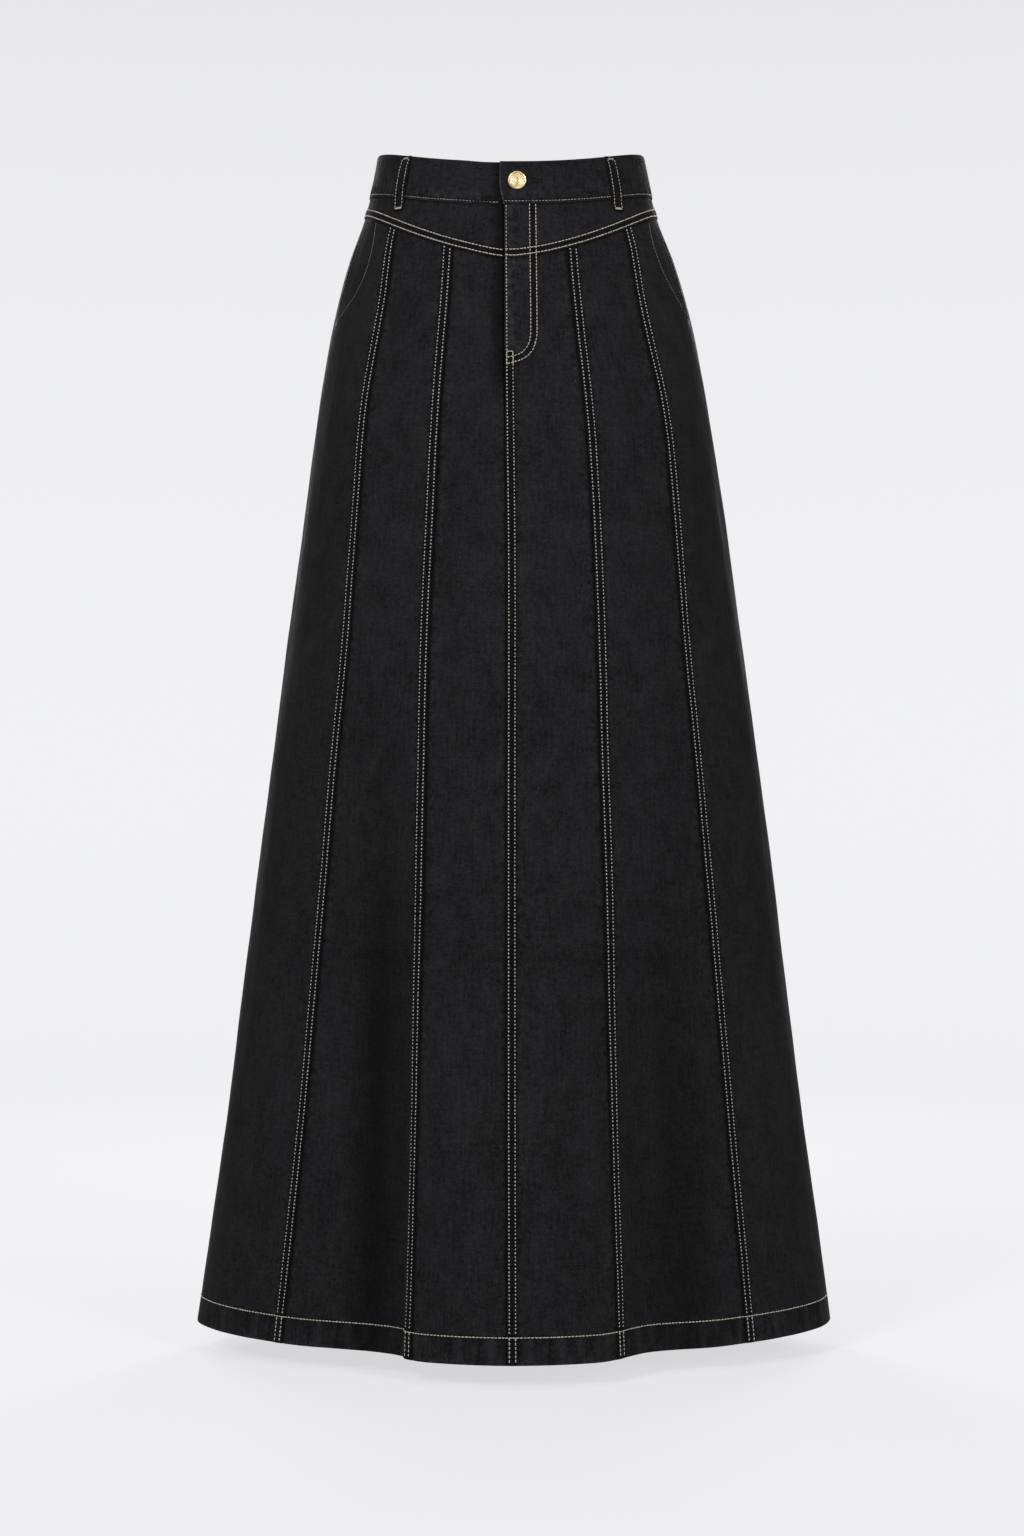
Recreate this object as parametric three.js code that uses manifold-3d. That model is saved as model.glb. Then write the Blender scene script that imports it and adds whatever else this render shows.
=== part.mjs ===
// A full-length black denim skirt, cut in twelve gores and filled out as it is when worn.
// Millimetres, +Z up. The origin is on the axis of the body, at the middle height of the
// waistband at the sides. The centre front faces -Y, and left and right are as seen from the front.
// An angle of 0 degrees is the centre front, 90 the right side, 180 the centre back, -90 the left side.

import * as THREE from 'three';
import Module from 'manifold-3d';

const wasm = await Module();
wasm.setup();

// Cloth
const CLOTH = 1.2;              // one layer of denim
const SEAM_GAP = 0.3;           // between two pieces that meet at a seam
const FELL_RISE = 0.9;          // how far a felled seam stands above the panel
const FELL_WIDTH = 7.8;         // width of the flat top of a felled seam
const FELL_SLOPE = 1.8;         // width over which it falls back to the panel

// Waistband
const BAND_HEIGHT = 39;
const BAND_TOP_FRONT = -3.3;    // top edge at the centre front
const BAND_TOP_SIDE = 17;       // top edge at the sides
const BAND_TOP_BACK = 24;       // top edge at the centre back
const BAND_CURVE = 2.2;         // how soon the top edge climbs from front to side
const BAND_OUT = 0.9;           // outer face above the panels
const BAND_IN = 2.1;            // inner face below the panels' outer face
const BAND_ROLL = 1.6;          // height of the rolled top edge
const BAND_STEP = 4.6;          // degrees between two sections of the band

// Yoke
const YOKE_POINT = -91.5;       // lower edge at the centre front and back
const YOKE_SIDE = -40;          // lower edge at the sides
const YOKE_CURVE = 1.5;
const YOKE_STEP = 5.2;          // degrees between two sections of the yoke

// Hem
const HEM_Z = -1055;
const HEM_SIDE_RISE = 4.5;      // how much higher the hem hangs at the sides
const HEM_SIDE_CURVE = 10;
const HEM_DEPTH = 22;
const HEM_FOLD = 1.5;           // extra thickness of the turned-up cloth
const HEM_STEP = 1.5;           // height over which the turn-up starts

// Fly, fastened: the right side lies over the left
const FLY_BOTTOM = -190;
const FLY_UNDERLAP = 6;         // how far the left side runs on under the right
const FLY_TUCK = 2.5;           // how deep the left side lies there
const TUCK_FROM = -44;          // x where the left side starts to go in
const TUCK_FULL = -11;          // x where it has gone in fully
const TUCK_FADE = 45;           // height over which this dies out below the fly
const BAND_TUCK = 3.5;          // the same for the thicker waistband
const BAND_LAP_ANGLE = -4.6;    // end of the waistband on top
const BAND_UNDER_ANGLE = 13.5;  // end of the waistband underneath
const BAND_LAP_LEAN = 1.5;      // degrees that the top end leans back over its lower half

// Pockets in the side seams
const MOUTH_TOP = -48;
const MOUTH_BOTTOM = -138;
const MOUTH_GAPE = 2.5;         // widest gap of the pocket mouth
const MOUTH_ROLL = 0.8;         // how far the front edge rolls out

// Horizontal sections. half: half the width. front, back: depth from the axis. pinch: how far the
// quarters between front, side and back are drawn in. shift: sideways place of the section's middle.
const SECTIONS = [
  { z: 20, half: 120.9, front: 93, back: 92, pinch: 0, shift: -1.0 },
  { z: -18, half: 128.6, front: 97, back: 100, pinch: 0, shift: -1.0 },
  { z: -39, half: 133.8, front: 100, back: 107, pinch: 0, shift: -0.9 },
  { z: -81, half: 149.3, front: 107, back: 120, pinch: 0, shift: -0.3 },
  { z: -131, half: 163.2, front: 116, back: 133, pinch: 0.01, shift: 0.5 },
  { z: -187, half: 174.1, front: 124, back: 141, pinch: 0.01, shift: 1.0 },
  { z: -260, half: 185.3, front: 132, back: 147, pinch: 0.02, shift: 1.8 },
  { z: -343, half: 196.7, front: 140, back: 153, pinch: 0.03, shift: 2.5 },
  { z: -573, half: 227.5, front: 163, back: 172, pinch: 0.07, shift: 2.8 },
  { z: -849, half: 262.6, front: 192, back: 197, pinch: 0.12, shift: 1.9 },
  { z: -1055, half: 291.3, front: 214, back: 217, pinch: 0.15, shift: 1.6 },
];

// Hollows between the folds that hang from the hips. at: angle of the hollow's middle. inner, outer:
// degrees it reaches towards the centre and towards the side. depth: at the hem. start: where it begins.
const FOLDS = [
  { at: -29, inner: 14, outer: 24, depth: 19, start: -420 },
  { at: 30, inner: 16, outer: 20, depth: 19, start: -540 },
  { at: -149, inner: 17, outer: 22, depth: 17, start: -500 },
  { at: 152, inner: 14, outer: 24, depth: 18, start: -440 },
  { at: -104, inner: 16, outer: 18, depth: 9, start: -620 },
  { at: 109, inner: 18, outer: 15, depth: 10, start: -560 },
];

// Angles of the seams at several heights. The back has the same seams as the front, seen in a mirror.
const SEAMS = [
  { z: -40, centre: -2.6, innerLeft: -21.4, innerRight: 20.2, outerLeft: -47.6, outerRight: 46.6, side: 77 },
  { z: -120, centre: -2.5, innerLeft: -20.4, innerRight: 19.2, outerLeft: -44.8, outerRight: 44.4, side: 77 },
  { z: -260, centre: -2.3, innerLeft: -21.5, innerRight: 20.8, outerLeft: -47.7, outerRight: 48.7, side: 82 },
  { z: -400, centre: -2.0, innerLeft: -21.8, innerRight: 20.7, outerLeft: -47.7, outerRight: 48.4, side: 88 },
  { z: -572, centre: -1.9, innerLeft: -21.2, innerRight: 20.0, outerLeft: -49.5, outerRight: 50.1, side: 90 },
  { z: -800, centre: -1.5, innerLeft: -20.3, innerRight: 20.0, outerLeft: -51.9, outerRight: 53.2, side: 90 },
  { z: -1055, centre: -1.1, innerLeft: -19.3, innerRight: 20.0, outerLeft: -54.7, outerRight: 55.1, side: 90 },
];

const DENIM = new THREE.MeshStandardMaterial({ color: 0x222224, roughness: 0.93, metalness: 0 });
const DENIM_INSIDE = new THREE.MeshStandardMaterial({ color: 0x2c2c2e, roughness: 0.95, metalness: 0 });
const BRASS = new THREE.MeshStandardMaterial({ color: 0xd8c193, roughness: 0.35, metalness: 0.9 });
const ZIP_TAPE = new THREE.MeshStandardMaterial({ color: 0x18181a, roughness: 0.8, metalness: 0.1 });

const rad = THREE.MathUtils.degToRad;
const mix = THREE.MathUtils.lerp;

function smooth(t) {
  const s = THREE.MathUtils.clamp(t, 0, 1);
  return s * s * (3 - 2 * s);
}

// Slopes of a monotone cubic through (x, y), so that a curve through a table never overshoots it
function slopes(x, y) {
  const last = x.length - 1;
  const step = (i) => (y[i + 1] - y[i]) / (x[i + 1] - x[i]);
  return y.map((_, i) => {
    if (i === 0) return step(0);
    if (i === last) return step(last - 1);
    const before = step(i - 1);
    const after = step(i);
    if (before * after <= 0) return 0;
    const w1 = 2 * (x[i + 1] - x[i]) + (x[i] - x[i - 1]);
    const w2 = (x[i + 1] - x[i]) + 2 * (x[i] - x[i - 1]);
    return (w1 + w2) / (w1 / before + w2 / after);
  });
}

// A function of z through one column of a table
function column(table, name) {
  const rows = [...table].sort((p, q) => p.z - q.z);
  const x = rows.map((row) => row.z);
  const y = rows.map((row) => row[name]);
  const m = slopes(x, y);
  const last = x.length - 1;
  return (z) => {
    if (z <= x[0]) return y[0] + m[0] * (z - x[0]);
    if (z >= x[last]) return y[last] + m[last] * (z - x[last]);
    const i = x.findIndex((value) => value > z) - 1;
    const h = x[i + 1] - x[i];
    const t = (z - x[i]) / h;
    const a = (1 + 2 * t) * (1 - t) ** 2;
    const b = t * (1 - t) ** 2 * h;
    const c = t * t * (3 - 2 * t);
    const d = t * t * (t - 1) * h;
    return a * y[i] + b * m[i] + c * y[i + 1] + d * m[i + 1];
  };
}

const half = column(SECTIONS, 'half');
const front = column(SECTIONS, 'front');
const back = column(SECTIONS, 'back');
const pinch = column(SECTIONS, 'pinch');
const shift = column(SECTIONS, 'shift');

const seam = {};
for (const name of ['centre', 'innerLeft', 'innerRight', 'outerLeft', 'outerRight', 'side']) {
  seam[name] = column(SEAMS, name);
}
seam.sideLeft = (z) => -seam.side(z);
seam.sideRight = seam.side;
seam.backOuterRight = (z) => 180 - seam.outerRight(z);
seam.backInnerRight = (z) => 180 - seam.innerRight(z);
seam.backOuterLeft = (z) => -180 - seam.outerLeft(z);
seam.backInnerLeft = (z) => -180 - seam.innerLeft(z);
seam.backCentre = (z) => 180 + seam.centre(z);
seam.backCentreFromLeft = (z) => seam.backCentre(z) - 360;

// How far the cloth hangs in at an angle and height, in the hollows between the folds
function foldDepth(angle, z) {
  const turned = THREE.MathUtils.euclideanModulo(angle + 180, 360) - 180;
  return FOLDS.reduce((sum, fold) => {
    const away = (turned - fold.at) * Math.sign(fold.at);
    const front = Math.abs(fold.at) < 90;
    const reach = (away > 0) === front ? fold.outer : fold.inner;
    if (Math.abs(away) >= reach) return sum;
    const grown = smooth((fold.start - z) / (fold.start - HEM_Z));
    return sum + fold.depth * grown * Math.cos(Math.PI * away / reach / 2) ** 2;
  }, 0);
}

// A point on the nominal outer face of the panels
function surface(angle, z) {
  const s = Math.sin(rad(angle));
  const c = Math.cos(rad(angle));
  const drawn = 1 - pinch(z) * Math.sin(rad(2 * angle)) ** 2;
  const point = new THREE.Vector3(half(z) * s * drawn, -(c > 0 ? front(z) : back(z)) * c * drawn, 0);
  const distance = point.length();
  point.multiplyScalar((distance - foldDepth(angle, z)) / distance);
  return new THREE.Vector3(point.x + shift(z), point.y, z);
}

const PROBE_ANGLE = 0.4;
const PROBE_Z = 2;

function tangentAcross(angle, z) {
  return surface(angle + PROBE_ANGLE, z).sub(surface(angle - PROBE_ANGLE, z)).divideScalar(2 * PROBE_ANGLE);
}

function normal(angle, z) {
  const down = surface(angle, z - PROBE_Z).sub(surface(angle, z + PROBE_Z));
  return down.cross(tangentAcross(angle, z)).normalize();
}

// A point moved out from the nominal face by lift
function cloth(angle, z, lift) {
  return surface(angle, z).addScaledVector(normal(angle, z), lift);
}

// The angle that lies some millimetres further round the skirt
function along(angle, z, millimetres) {
  return angle + millimetres / tangentAcross(angle, z).length();
}

// Height of the waistband's top edge and of the yoke's lower edge
function bandTop(angle) {
  const s = Math.abs(Math.sin(rad(angle)));
  const centre = Math.cos(rad(angle)) > 0 ? BAND_TOP_FRONT : BAND_TOP_BACK;
  return mix(centre, BAND_TOP_SIDE, s ** BAND_CURVE);
}

function bandBottom(angle) {
  return bandTop(angle) - BAND_HEIGHT;
}

function hemHeight(angle) {
  return HEM_Z + HEM_SIDE_RISE * Math.abs(Math.sin(rad(angle))) ** HEM_SIDE_CURVE;
}

function yokeBottom(angle) {
  return mix(YOKE_POINT, YOKE_SIDE, Math.abs(Math.sin(rad(angle))) ** YOKE_CURVE);
}

// A closed sheet between an outer and an inner grid of points, rows running down and columns
// running round from left to right as seen from outside
function closedSheet(outer, inner) {
  const rows = outer.length;
  const columns = outer[0].length;
  const positions = [...outer.flat(), ...inner.flat()].flatMap((p) => [p.x, p.y, p.z]);
  const o = (r, c) => r * columns + c;
  const i = (r, c) => rows * columns + r * columns + c;
  const index = [];
  const quad = (a, b, c, d) => index.push(a, b, c, a, c, d);
  for (let r = 0; r < rows - 1; r += 1) {
    for (let c = 0; c < columns - 1; c += 1) {
      quad(o(r, c), o(r + 1, c), o(r + 1, c + 1), o(r, c + 1));
      quad(i(r, c), i(r, c + 1), i(r + 1, c + 1), i(r + 1, c));
    }
    quad(o(r, 0), i(r, 0), i(r + 1, 0), o(r + 1, 0));
    quad(o(r, columns - 1), o(r + 1, columns - 1), i(r + 1, columns - 1), i(r, columns - 1));
  }
  for (let c = 0; c < columns - 1; c += 1) {
    quad(o(0, c), o(0, c + 1), i(0, c + 1), i(0, c));
    quad(o(rows - 1, c), i(rows - 1, c), i(rows - 1, c + 1), o(rows - 1, c + 1));
  }
  const geometry = new THREE.BufferGeometry();
  geometry.setAttribute('position', new THREE.Float32BufferAttribute(positions, 3));
  geometry.setIndex(index);
  geometry.computeVertexNormals();
  return geometry;
}

function toSolid(geometry) {
  return new wasm.Manifold(new wasm.Mesh({
    numProp: 3,
    vertProperties: new Float32Array(geometry.attributes.position.array),
    triVerts: new Uint32Array(geometry.index.array),
  }));
}

function toGeometry(solid) {
  const mesh = solid.getMesh();
  const geometry = new THREE.BufferGeometry();
  geometry.setAttribute('position', new THREE.BufferAttribute(mesh.vertProperties, 3));
  geometry.setIndex(new THREE.BufferAttribute(mesh.triVerts, 1));
  geometry.computeVertexNormals();
  return geometry;
}

// How far the left side goes in where it passes under the fly
function leftTuck(x, z) {
  const across = smooth((x - TUCK_FROM) / (TUCK_FULL - TUCK_FROM));
  const below = smooth((z - (FLY_BOTTOM - 10) + TUCK_FADE) / TUCK_FADE);
  return FLY_TUCK * across * below;
}

function underlap(z) {
  return FLY_UNDERLAP * smooth((z - (FLY_BOTTOM - 3)) / 10);
}

// One panel between two seams. from, to: the angles of its edges at a height. top, bottom: the heights
// of its ends at an angle. nearFrom, nearTo: distances of the columns that follow each edge, with
// their lift. between: how many columns divide the rest. rows: [how far down, lift, extra thickness].
function panel({ from, to, top, bottom, nearFrom, nearTo, between, rows, shape }) {
  const outer = [];
  const inner = [];
  for (const row of rows) {
    const outerRow = [];
    const innerRow = [];
    const place = (angleAt, lift) => {
      let z = row.z(top(angleAt(top(0))), bottom(angleAt(bottom(0))));
      z = row.z(top(angleAt(z)), bottom(angleAt(z)));
      const angle = angleAt(z);
      const x = surface(angle, z).x;
      const out = Math.max(lift, row.lift) + (shape ? shape(angle, z, x) : 0);
      outerRow.push(cloth(angle, z, out));
      innerRow.push(cloth(angle, z, Math.min(out, 0) - CLOTH - row.extra));
    };
    const first = (z) => along(from(z), z, nearFrom.at(-1).at(z));
    const second = (z) => along(to(z), z, -nearTo[0].at(z));
    nearFrom.forEach(({ at, lift }) => place((z) => along(from(z), z, at(z)), lift));
    for (let k = 1; k < between; k += 1) place((z) => mix(first(z), second(z), k / between), 0);
    nearTo.forEach(({ at, lift }) => place((z) => along(to(z), z, -at(z)), lift));
    outer.push(outerRow);
    inner.push(innerRow);
  }
  return closedSheet(outer, inner);
}

// Columns that follow an edge: plain, felled, or the left side's edge under the fly
const PLAIN_EDGE = [{ at: () => SEAM_GAP / 2, lift: 0 }];
const FELLED_EDGE = [
  { at: () => SEAM_GAP / 2, lift: FELL_RISE },
  { at: () => FELL_WIDTH, lift: FELL_RISE },
  { at: () => FELL_WIDTH + FELL_SLOPE, lift: 0 },
];
const UNDER_FLY_EDGE = [
  { at: () => 34, lift: 0 },
  { at: () => 24, lift: 0 },
  { at: () => 14, lift: 0 },
  { at: (z) => 6 - underlap(z) / 2, lift: 0 },
  { at: (z) => SEAM_GAP / 2 - underlap(z), lift: 0 },
];

// The front's edge at the pocket mouth stands off and rolls out between the two ends of the mouth
function mouthOpen(z) {
  const share = (z - MOUTH_TOP) / (MOUTH_BOTTOM - MOUTH_TOP);
  return share > 0 && share < 1 ? Math.sin(Math.PI * share) ** 0.6 : 0;
}

function mouthRoll(angle, z) {
  const away = Math.abs(Math.abs(angle) - seam.side(z));
  return MOUTH_ROLL * mouthOpen(z) * smooth(1 - away / 6);
}

const MOUTH_EDGE = [{ at: (z) => SEAM_GAP / 2 + MOUTH_GAPE * mouthOpen(z), lift: 0 }];

// How far down a gore each row of points lies: close together over the hips, then wider
const GORE_ROWS = [0, 0.022, 0.05, 0.08, 0.11, 0.145, 0.185, 0.23, 0.285, 0.37, 0.47, 0.58, 0.69, 0.8, 0.9, 1];

function goreRows() {
  const foldTop = HEM_DEPTH + HEM_STEP;
  const rows = GORE_ROWS.map((share) => ({
    z: (top, bottom) => mix(top, bottom + foldTop, share),
    lift: 0,
    extra: 0,
  }));
  rows.push({ z: (_, bottom) => bottom + HEM_DEPTH, lift: 0, extra: HEM_FOLD });
  rows.push({ z: (_, bottom) => bottom, lift: 0, extra: HEM_FOLD });
  return rows;
}

function gore(from, to, nearFrom, nearTo, between, shape) {
  return panel({
    from,
    to,
    top: (angle) => yokeBottom(angle) - SEAM_GAP / 2,
    bottom: hemHeight,
    nearFrom,
    nearTo,
    between,
    rows: goreRows(),
    shape,
  });
}

function mirrorEdge(edge) {
  return [...edge].reverse();
}

// The four parts of the yoke, with a felled lower edge
function yoke(from, to, nearFrom, nearTo, shape) {
  const span = Math.abs(to(YOKE_SIDE) - from(YOKE_SIDE));
  return panel({
    from,
    to,
    top: (angle) => bandBottom(angle) - SEAM_GAP / 2,
    bottom: (angle) => yokeBottom(angle) + SEAM_GAP / 2,
    nearFrom,
    nearTo,
    between: Math.round(span / YOKE_STEP),
    rows: [
      { z: (top) => top, lift: 0, extra: 0 },
      { z: (top, bottom) => (top + bottom + FELL_WIDTH) / 2, lift: 0, extra: 0 },
      { z: (_, bottom) => bottom + FELL_WIDTH + FELL_SLOPE, lift: 0, extra: 0 },
      { z: (_, bottom) => bottom + FELL_WIDTH, lift: FELL_RISE, extra: 0 },
      { z: (_, bottom) => bottom, lift: FELL_RISE, extra: 0 },
    ],
    shape,
  });
}

// The waistband: one strip that goes round from its upper end, over the fly, to its lower end
// under it. It lies deeper as it goes under.
function bandLayer(angle) {
  const start = 360 + BAND_LAP_ANGLE - 17;
  return -BAND_TUCK * smooth((angle - start) / 13);
}

function waistband(hole) {
  const last = 360 + BAND_UNDER_ANGLE;
  const steps = Math.round((last - BAND_LAP_ANGLE) / BAND_STEP);
  const rows = [
    { down: 0, out: BAND_OUT - 0.5, deep: BAND_IN - 0.6 },
    { down: BAND_ROLL, out: BAND_OUT, deep: BAND_IN },
    { down: 0.5 * BAND_HEIGHT, out: BAND_OUT, deep: BAND_IN },
    { down: BAND_HEIGHT - SEAM_GAP / 2, out: BAND_OUT, deep: BAND_IN },
  ];
  const outer = [];
  const inner = [];
  for (const { down, out, deep } of rows) {
    const lean = BAND_LAP_LEAN * smooth((2 * down - BAND_HEIGHT) / BAND_HEIGHT);
    const angles = Array.from({ length: steps + 1 }, (_, k) => mix(BAND_LAP_ANGLE + lean, last, k / steps));
    outer.push(angles.map((angle) => cloth(angle, bandTop(angle) - down, out + bandLayer(angle))));
    inner.push(angles.map((angle) => cloth(angle, bandTop(angle) - down, -deep + bandLayer(angle))));
  }
  return toGeometry(toSolid(closedSheet(outer, inner)).subtract(hole));
}

// A patch that lies inside the skirt, with its outer face some millimetres in
function patch({ from, to, top, bottom, columns, rows, depth, thickness }) {
  const grid = (lift) => Array.from({ length: rows + 1 }, (_, r) => {
    const share = r / rows;
    return Array.from({ length: columns + 1 }, (__, c) => {
      const angle = mix(from(share), to(share), c / columns);
      return cloth(angle, mix(top(angle), bottom(angle), share), lift);
    });
  });
  return closedSheet(grid(-depth), grid(-depth - thickness));
}

const SHIELD_TOP = BAND_TOP_FRONT - BAND_HEIGHT - 3;
const SHIELD_BOTTOM = FLY_BOTTOM - 4;
const SHIELD_DEPTH = 4.1;       // clear of the left side's inner face under the fly
const ZIP_DEPTH = 1.65;         // just inside the fly
const ZIP_THICKNESS = 1.6;

function flyShield() {
  return patch({
    from: () => seam.centre(YOKE_POINT) - 1.2,
    to: () => 11,
    top: () => SHIELD_TOP,
    bottom: () => SHIELD_BOTTOM,
    columns: 4,
    rows: 6,
    depth: SHIELD_DEPTH,
    thickness: CLOTH,
  });
}

function zip() {
  return patch({
    from: () => 1.6,
    to: () => 7.2,
    top: () => SHIELD_TOP,
    bottom: () => FLY_BOTTOM + 6,
    columns: 2,
    rows: 6,
    depth: ZIP_DEPTH,
    thickness: ZIP_THICKNESS,
  });
}

const POCKET_FRONT_ANGLE = 51;  // the bag's edge towards the centre front
const POCKET_BACK_ANGLE = 83;   // it is sewn to the back just behind the side seam
const POCKET_BOTTOM = -262;
const POCKET_NARROW = 7;        // degrees that the bag narrows towards its bottom
const POCKET_CLEAR = 0.6;
const POCKET_LAYERS = 1.6;      // two layers of pocketing

// A pocket bag behind the side of the front. sign is -1 on the left and 1 on the right.
function pocketBag(sign) {
  const centreEdge = (share) => sign * (POCKET_FRONT_ANGLE + POCKET_NARROW * smooth(2 * share - 1));
  const sideEdge = (share) => sign * (POCKET_BACK_ANGLE - POCKET_NARROW * smooth(2 * share - 1));
  return patch({
    from: sign > 0 ? centreEdge : sideEdge,
    to: sign > 0 ? sideEdge : centreEdge,
    top: (angle) => yokeBottom(angle) - 4,
    bottom: () => POCKET_BOTTOM,
    columns: 5,
    rows: 8,
    depth: CLOTH + POCKET_CLEAR,
    thickness: POCKET_LAYERS,
  });
}

// Belt loops, sewn down at the top edge of the waistband and on the yoke just below it
const LOOP_ANGLES = { front_left: -48.5, front_right: 45.3, back_left: -135, back_right: 135, back_centre: 180 };
const LOOP_WIDTH = 11;
const LOOP_THICKNESS = 1.8;
const LOOP_BELOW = 11;          // how far it reaches below the waistband
const LOOP_SEAT = 0.45;         // gap between its sewn ends and the cloth under them
const LOOP_ROWS = [
  { share: 0, lift: BAND_OUT + LOOP_SEAT },
  { share: 0.07, lift: BAND_OUT + LOOP_SEAT },
  { share: 0.22, lift: 2.9 },
  { share: 0.45, lift: 3.3 },
  { share: 0.68, lift: 3.0 },
  { share: 0.8, lift: 2.0 },
  { share: 0.92, lift: LOOP_SEAT },
  { share: 1, lift: LOOP_SEAT },
];

function beltLoop(angle) {
  const top = bandTop(angle) - 1;
  const bottom = bandBottom(angle) - LOOP_BELOW;
  const grid = (thickness) => LOOP_ROWS.map(({ share, lift }) => {
    const z = mix(top, bottom, share);
    return [-0.5, 0, 0.5].map((side) => cloth(along(angle, z, side * LOOP_WIDTH), z, lift + thickness));
  });
  return closedSheet(grid(LOOP_THICKNESS), grid(0));
}

// The tack button, through the buttonhole on top and fixed to the layer under it
const BUTTON_ANGLE = 2.4;
const BUTTON_Z = -21.5;
const BUTTON_RADIUS = 8.4;
const SHANK_RADIUS = 2.2;
const SHANK_CLEARANCE = 0.4;
const TACK_RADIUS = 4.6;
const BUTTON_SIDES = 28;
const TACK_DEPTH = BAND_TUCK + BAND_IN + 0.4;
const CAP_SEAT = BAND_OUT + 0.5;
const CAP_THICKNESS = 2.1;
const RIM_WIDTH = 1.1;
const RIM_DROP = 0.45;

function buttonProfile() {
  const face = CAP_SEAT + CAP_THICKNESS;
  return [
    [0, -TACK_DEPTH - 1.3],
    [TACK_RADIUS - 0.7, -TACK_DEPTH - 1.3],
    [TACK_RADIUS, -TACK_DEPTH - 0.6],
    [TACK_RADIUS, -TACK_DEPTH],
    [SHANK_RADIUS, -TACK_DEPTH],
    [SHANK_RADIUS, CAP_SEAT],
    [BUTTON_RADIUS - 0.4, CAP_SEAT],
    [BUTTON_RADIUS, CAP_SEAT + 0.5],
    [BUTTON_RADIUS, face - 0.6],
    [BUTTON_RADIUS - 0.5, face],
    [BUTTON_RADIUS - RIM_WIDTH, face],
    [BUTTON_RADIUS - RIM_WIDTH - 0.5, face - RIM_DROP],
    [1.6, face - RIM_DROP + 0.2],
    [1.1, face - RIM_DROP - 0.5],
    [0, face - RIM_DROP - 0.5],
  ].map(([radius, height]) => new THREE.Vector2(radius, height));
}

function alignToButton(object) {
  object.quaternion.setFromUnitVectors(new THREE.Vector3(0, 1, 0), normal(BUTTON_ANGLE, BUTTON_Z));
  object.position.copy(surface(BUTTON_ANGLE, BUTTON_Z));
  object.updateMatrix();
  return object;
}

function shankHole() {
  const drill = alignToButton(new THREE.Object3D());
  const rim = SHANK_RADIUS + SHANK_CLEARANCE;
  const deep = BAND_TUCK + BAND_IN + 4;
  const sides = 16;
  const positions = [];
  const index = [];
  for (const height of [-deep, BAND_OUT + 4]) {
    for (let k = 0; k < sides; k += 1) {
      const turn = (2 * Math.PI * k) / sides;
      positions.push(...new THREE.Vector3(rim * Math.cos(turn), height, rim * Math.sin(turn))
        .applyMatrix4(drill.matrix).toArray());
    }
  }
  for (let k = 0; k < sides; k += 1) {
    const next = (k + 1) % sides;
    index.push(k, sides + k, next, next, sides + k, sides + next);
    if (k > 0 && k < sides - 1) {
      index.push(0, k, k + 1, sides, sides + k + 1, sides + k);
    }
  }
  const geometry = new THREE.BufferGeometry();
  geometry.setAttribute('position', new THREE.Float32BufferAttribute(positions, 3));
  geometry.setIndex(index);
  return toSolid(geometry);
}

const skirt = new THREE.Group();
skirt.name = 'denim_skirt';

function add(name, geometry, material) {
  const mesh = new THREE.Mesh(geometry, material);
  mesh.name = name;
  skirt.add(mesh);
  return mesh;
}

const tuck = (_, z, x) => -leftTuck(x, z);

// name, its two seams, the columns along them, columns between, and any further shape
const GORES = [
  ['front_inner_left', 'innerLeft', 'centre', PLAIN_EDGE, UNDER_FLY_EDGE, 4, tuck],
  ['front_inner_right', 'centre', 'innerRight', FELLED_EDGE, PLAIN_EDGE, 6],
  ['front_middle_left', 'outerLeft', 'innerLeft', PLAIN_EDGE, mirrorEdge(FELLED_EDGE), 6],
  ['front_middle_right', 'innerRight', 'outerRight', FELLED_EDGE, PLAIN_EDGE, 6],
  ['front_side_left', 'sideLeft', 'outerLeft', MOUTH_EDGE, mirrorEdge(FELLED_EDGE), 7, mouthRoll],
  ['front_side_right', 'outerRight', 'sideRight', FELLED_EDGE, MOUTH_EDGE, 7, mouthRoll],
  ['back_side_right', 'sideRight', 'backOuterRight', PLAIN_EDGE, mirrorEdge(FELLED_EDGE), 7],
  ['back_middle_right', 'backOuterRight', 'backInnerRight', PLAIN_EDGE, mirrorEdge(FELLED_EDGE), 6],
  ['back_inner_right', 'backInnerRight', 'backCentre', PLAIN_EDGE, mirrorEdge(FELLED_EDGE), 6],
  ['back_inner_left', 'backCentreFromLeft', 'backInnerLeft', PLAIN_EDGE, PLAIN_EDGE, 6],
  ['back_middle_left', 'backInnerLeft', 'backOuterLeft', FELLED_EDGE, PLAIN_EDGE, 6],
  ['back_side_left', 'backOuterLeft', 'sideLeft', FELLED_EDGE, PLAIN_EDGE, 7],
];
for (const [name, from, to, nearFrom, nearTo, between, shape] of GORES) {
  add(name, gore(seam[from], seam[to], nearFrom, nearTo, between, shape), DENIM);
}

const YOKES = [
  ['front_yoke_left', 'sideLeft', 'centre', PLAIN_EDGE, UNDER_FLY_EDGE, tuck],
  ['front_yoke_right', 'centre', 'sideRight', FELLED_EDGE, PLAIN_EDGE],
  ['back_yoke_right', 'sideRight', 'backCentre', PLAIN_EDGE, PLAIN_EDGE],
  ['back_yoke_left', 'backCentreFromLeft', 'sideLeft', PLAIN_EDGE, PLAIN_EDGE],
];
for (const [name, from, to, nearFrom, nearTo, shape] of YOKES) {
  add(name, yoke(seam[from], seam[to], nearFrom, nearTo, shape), DENIM);
}

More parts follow.
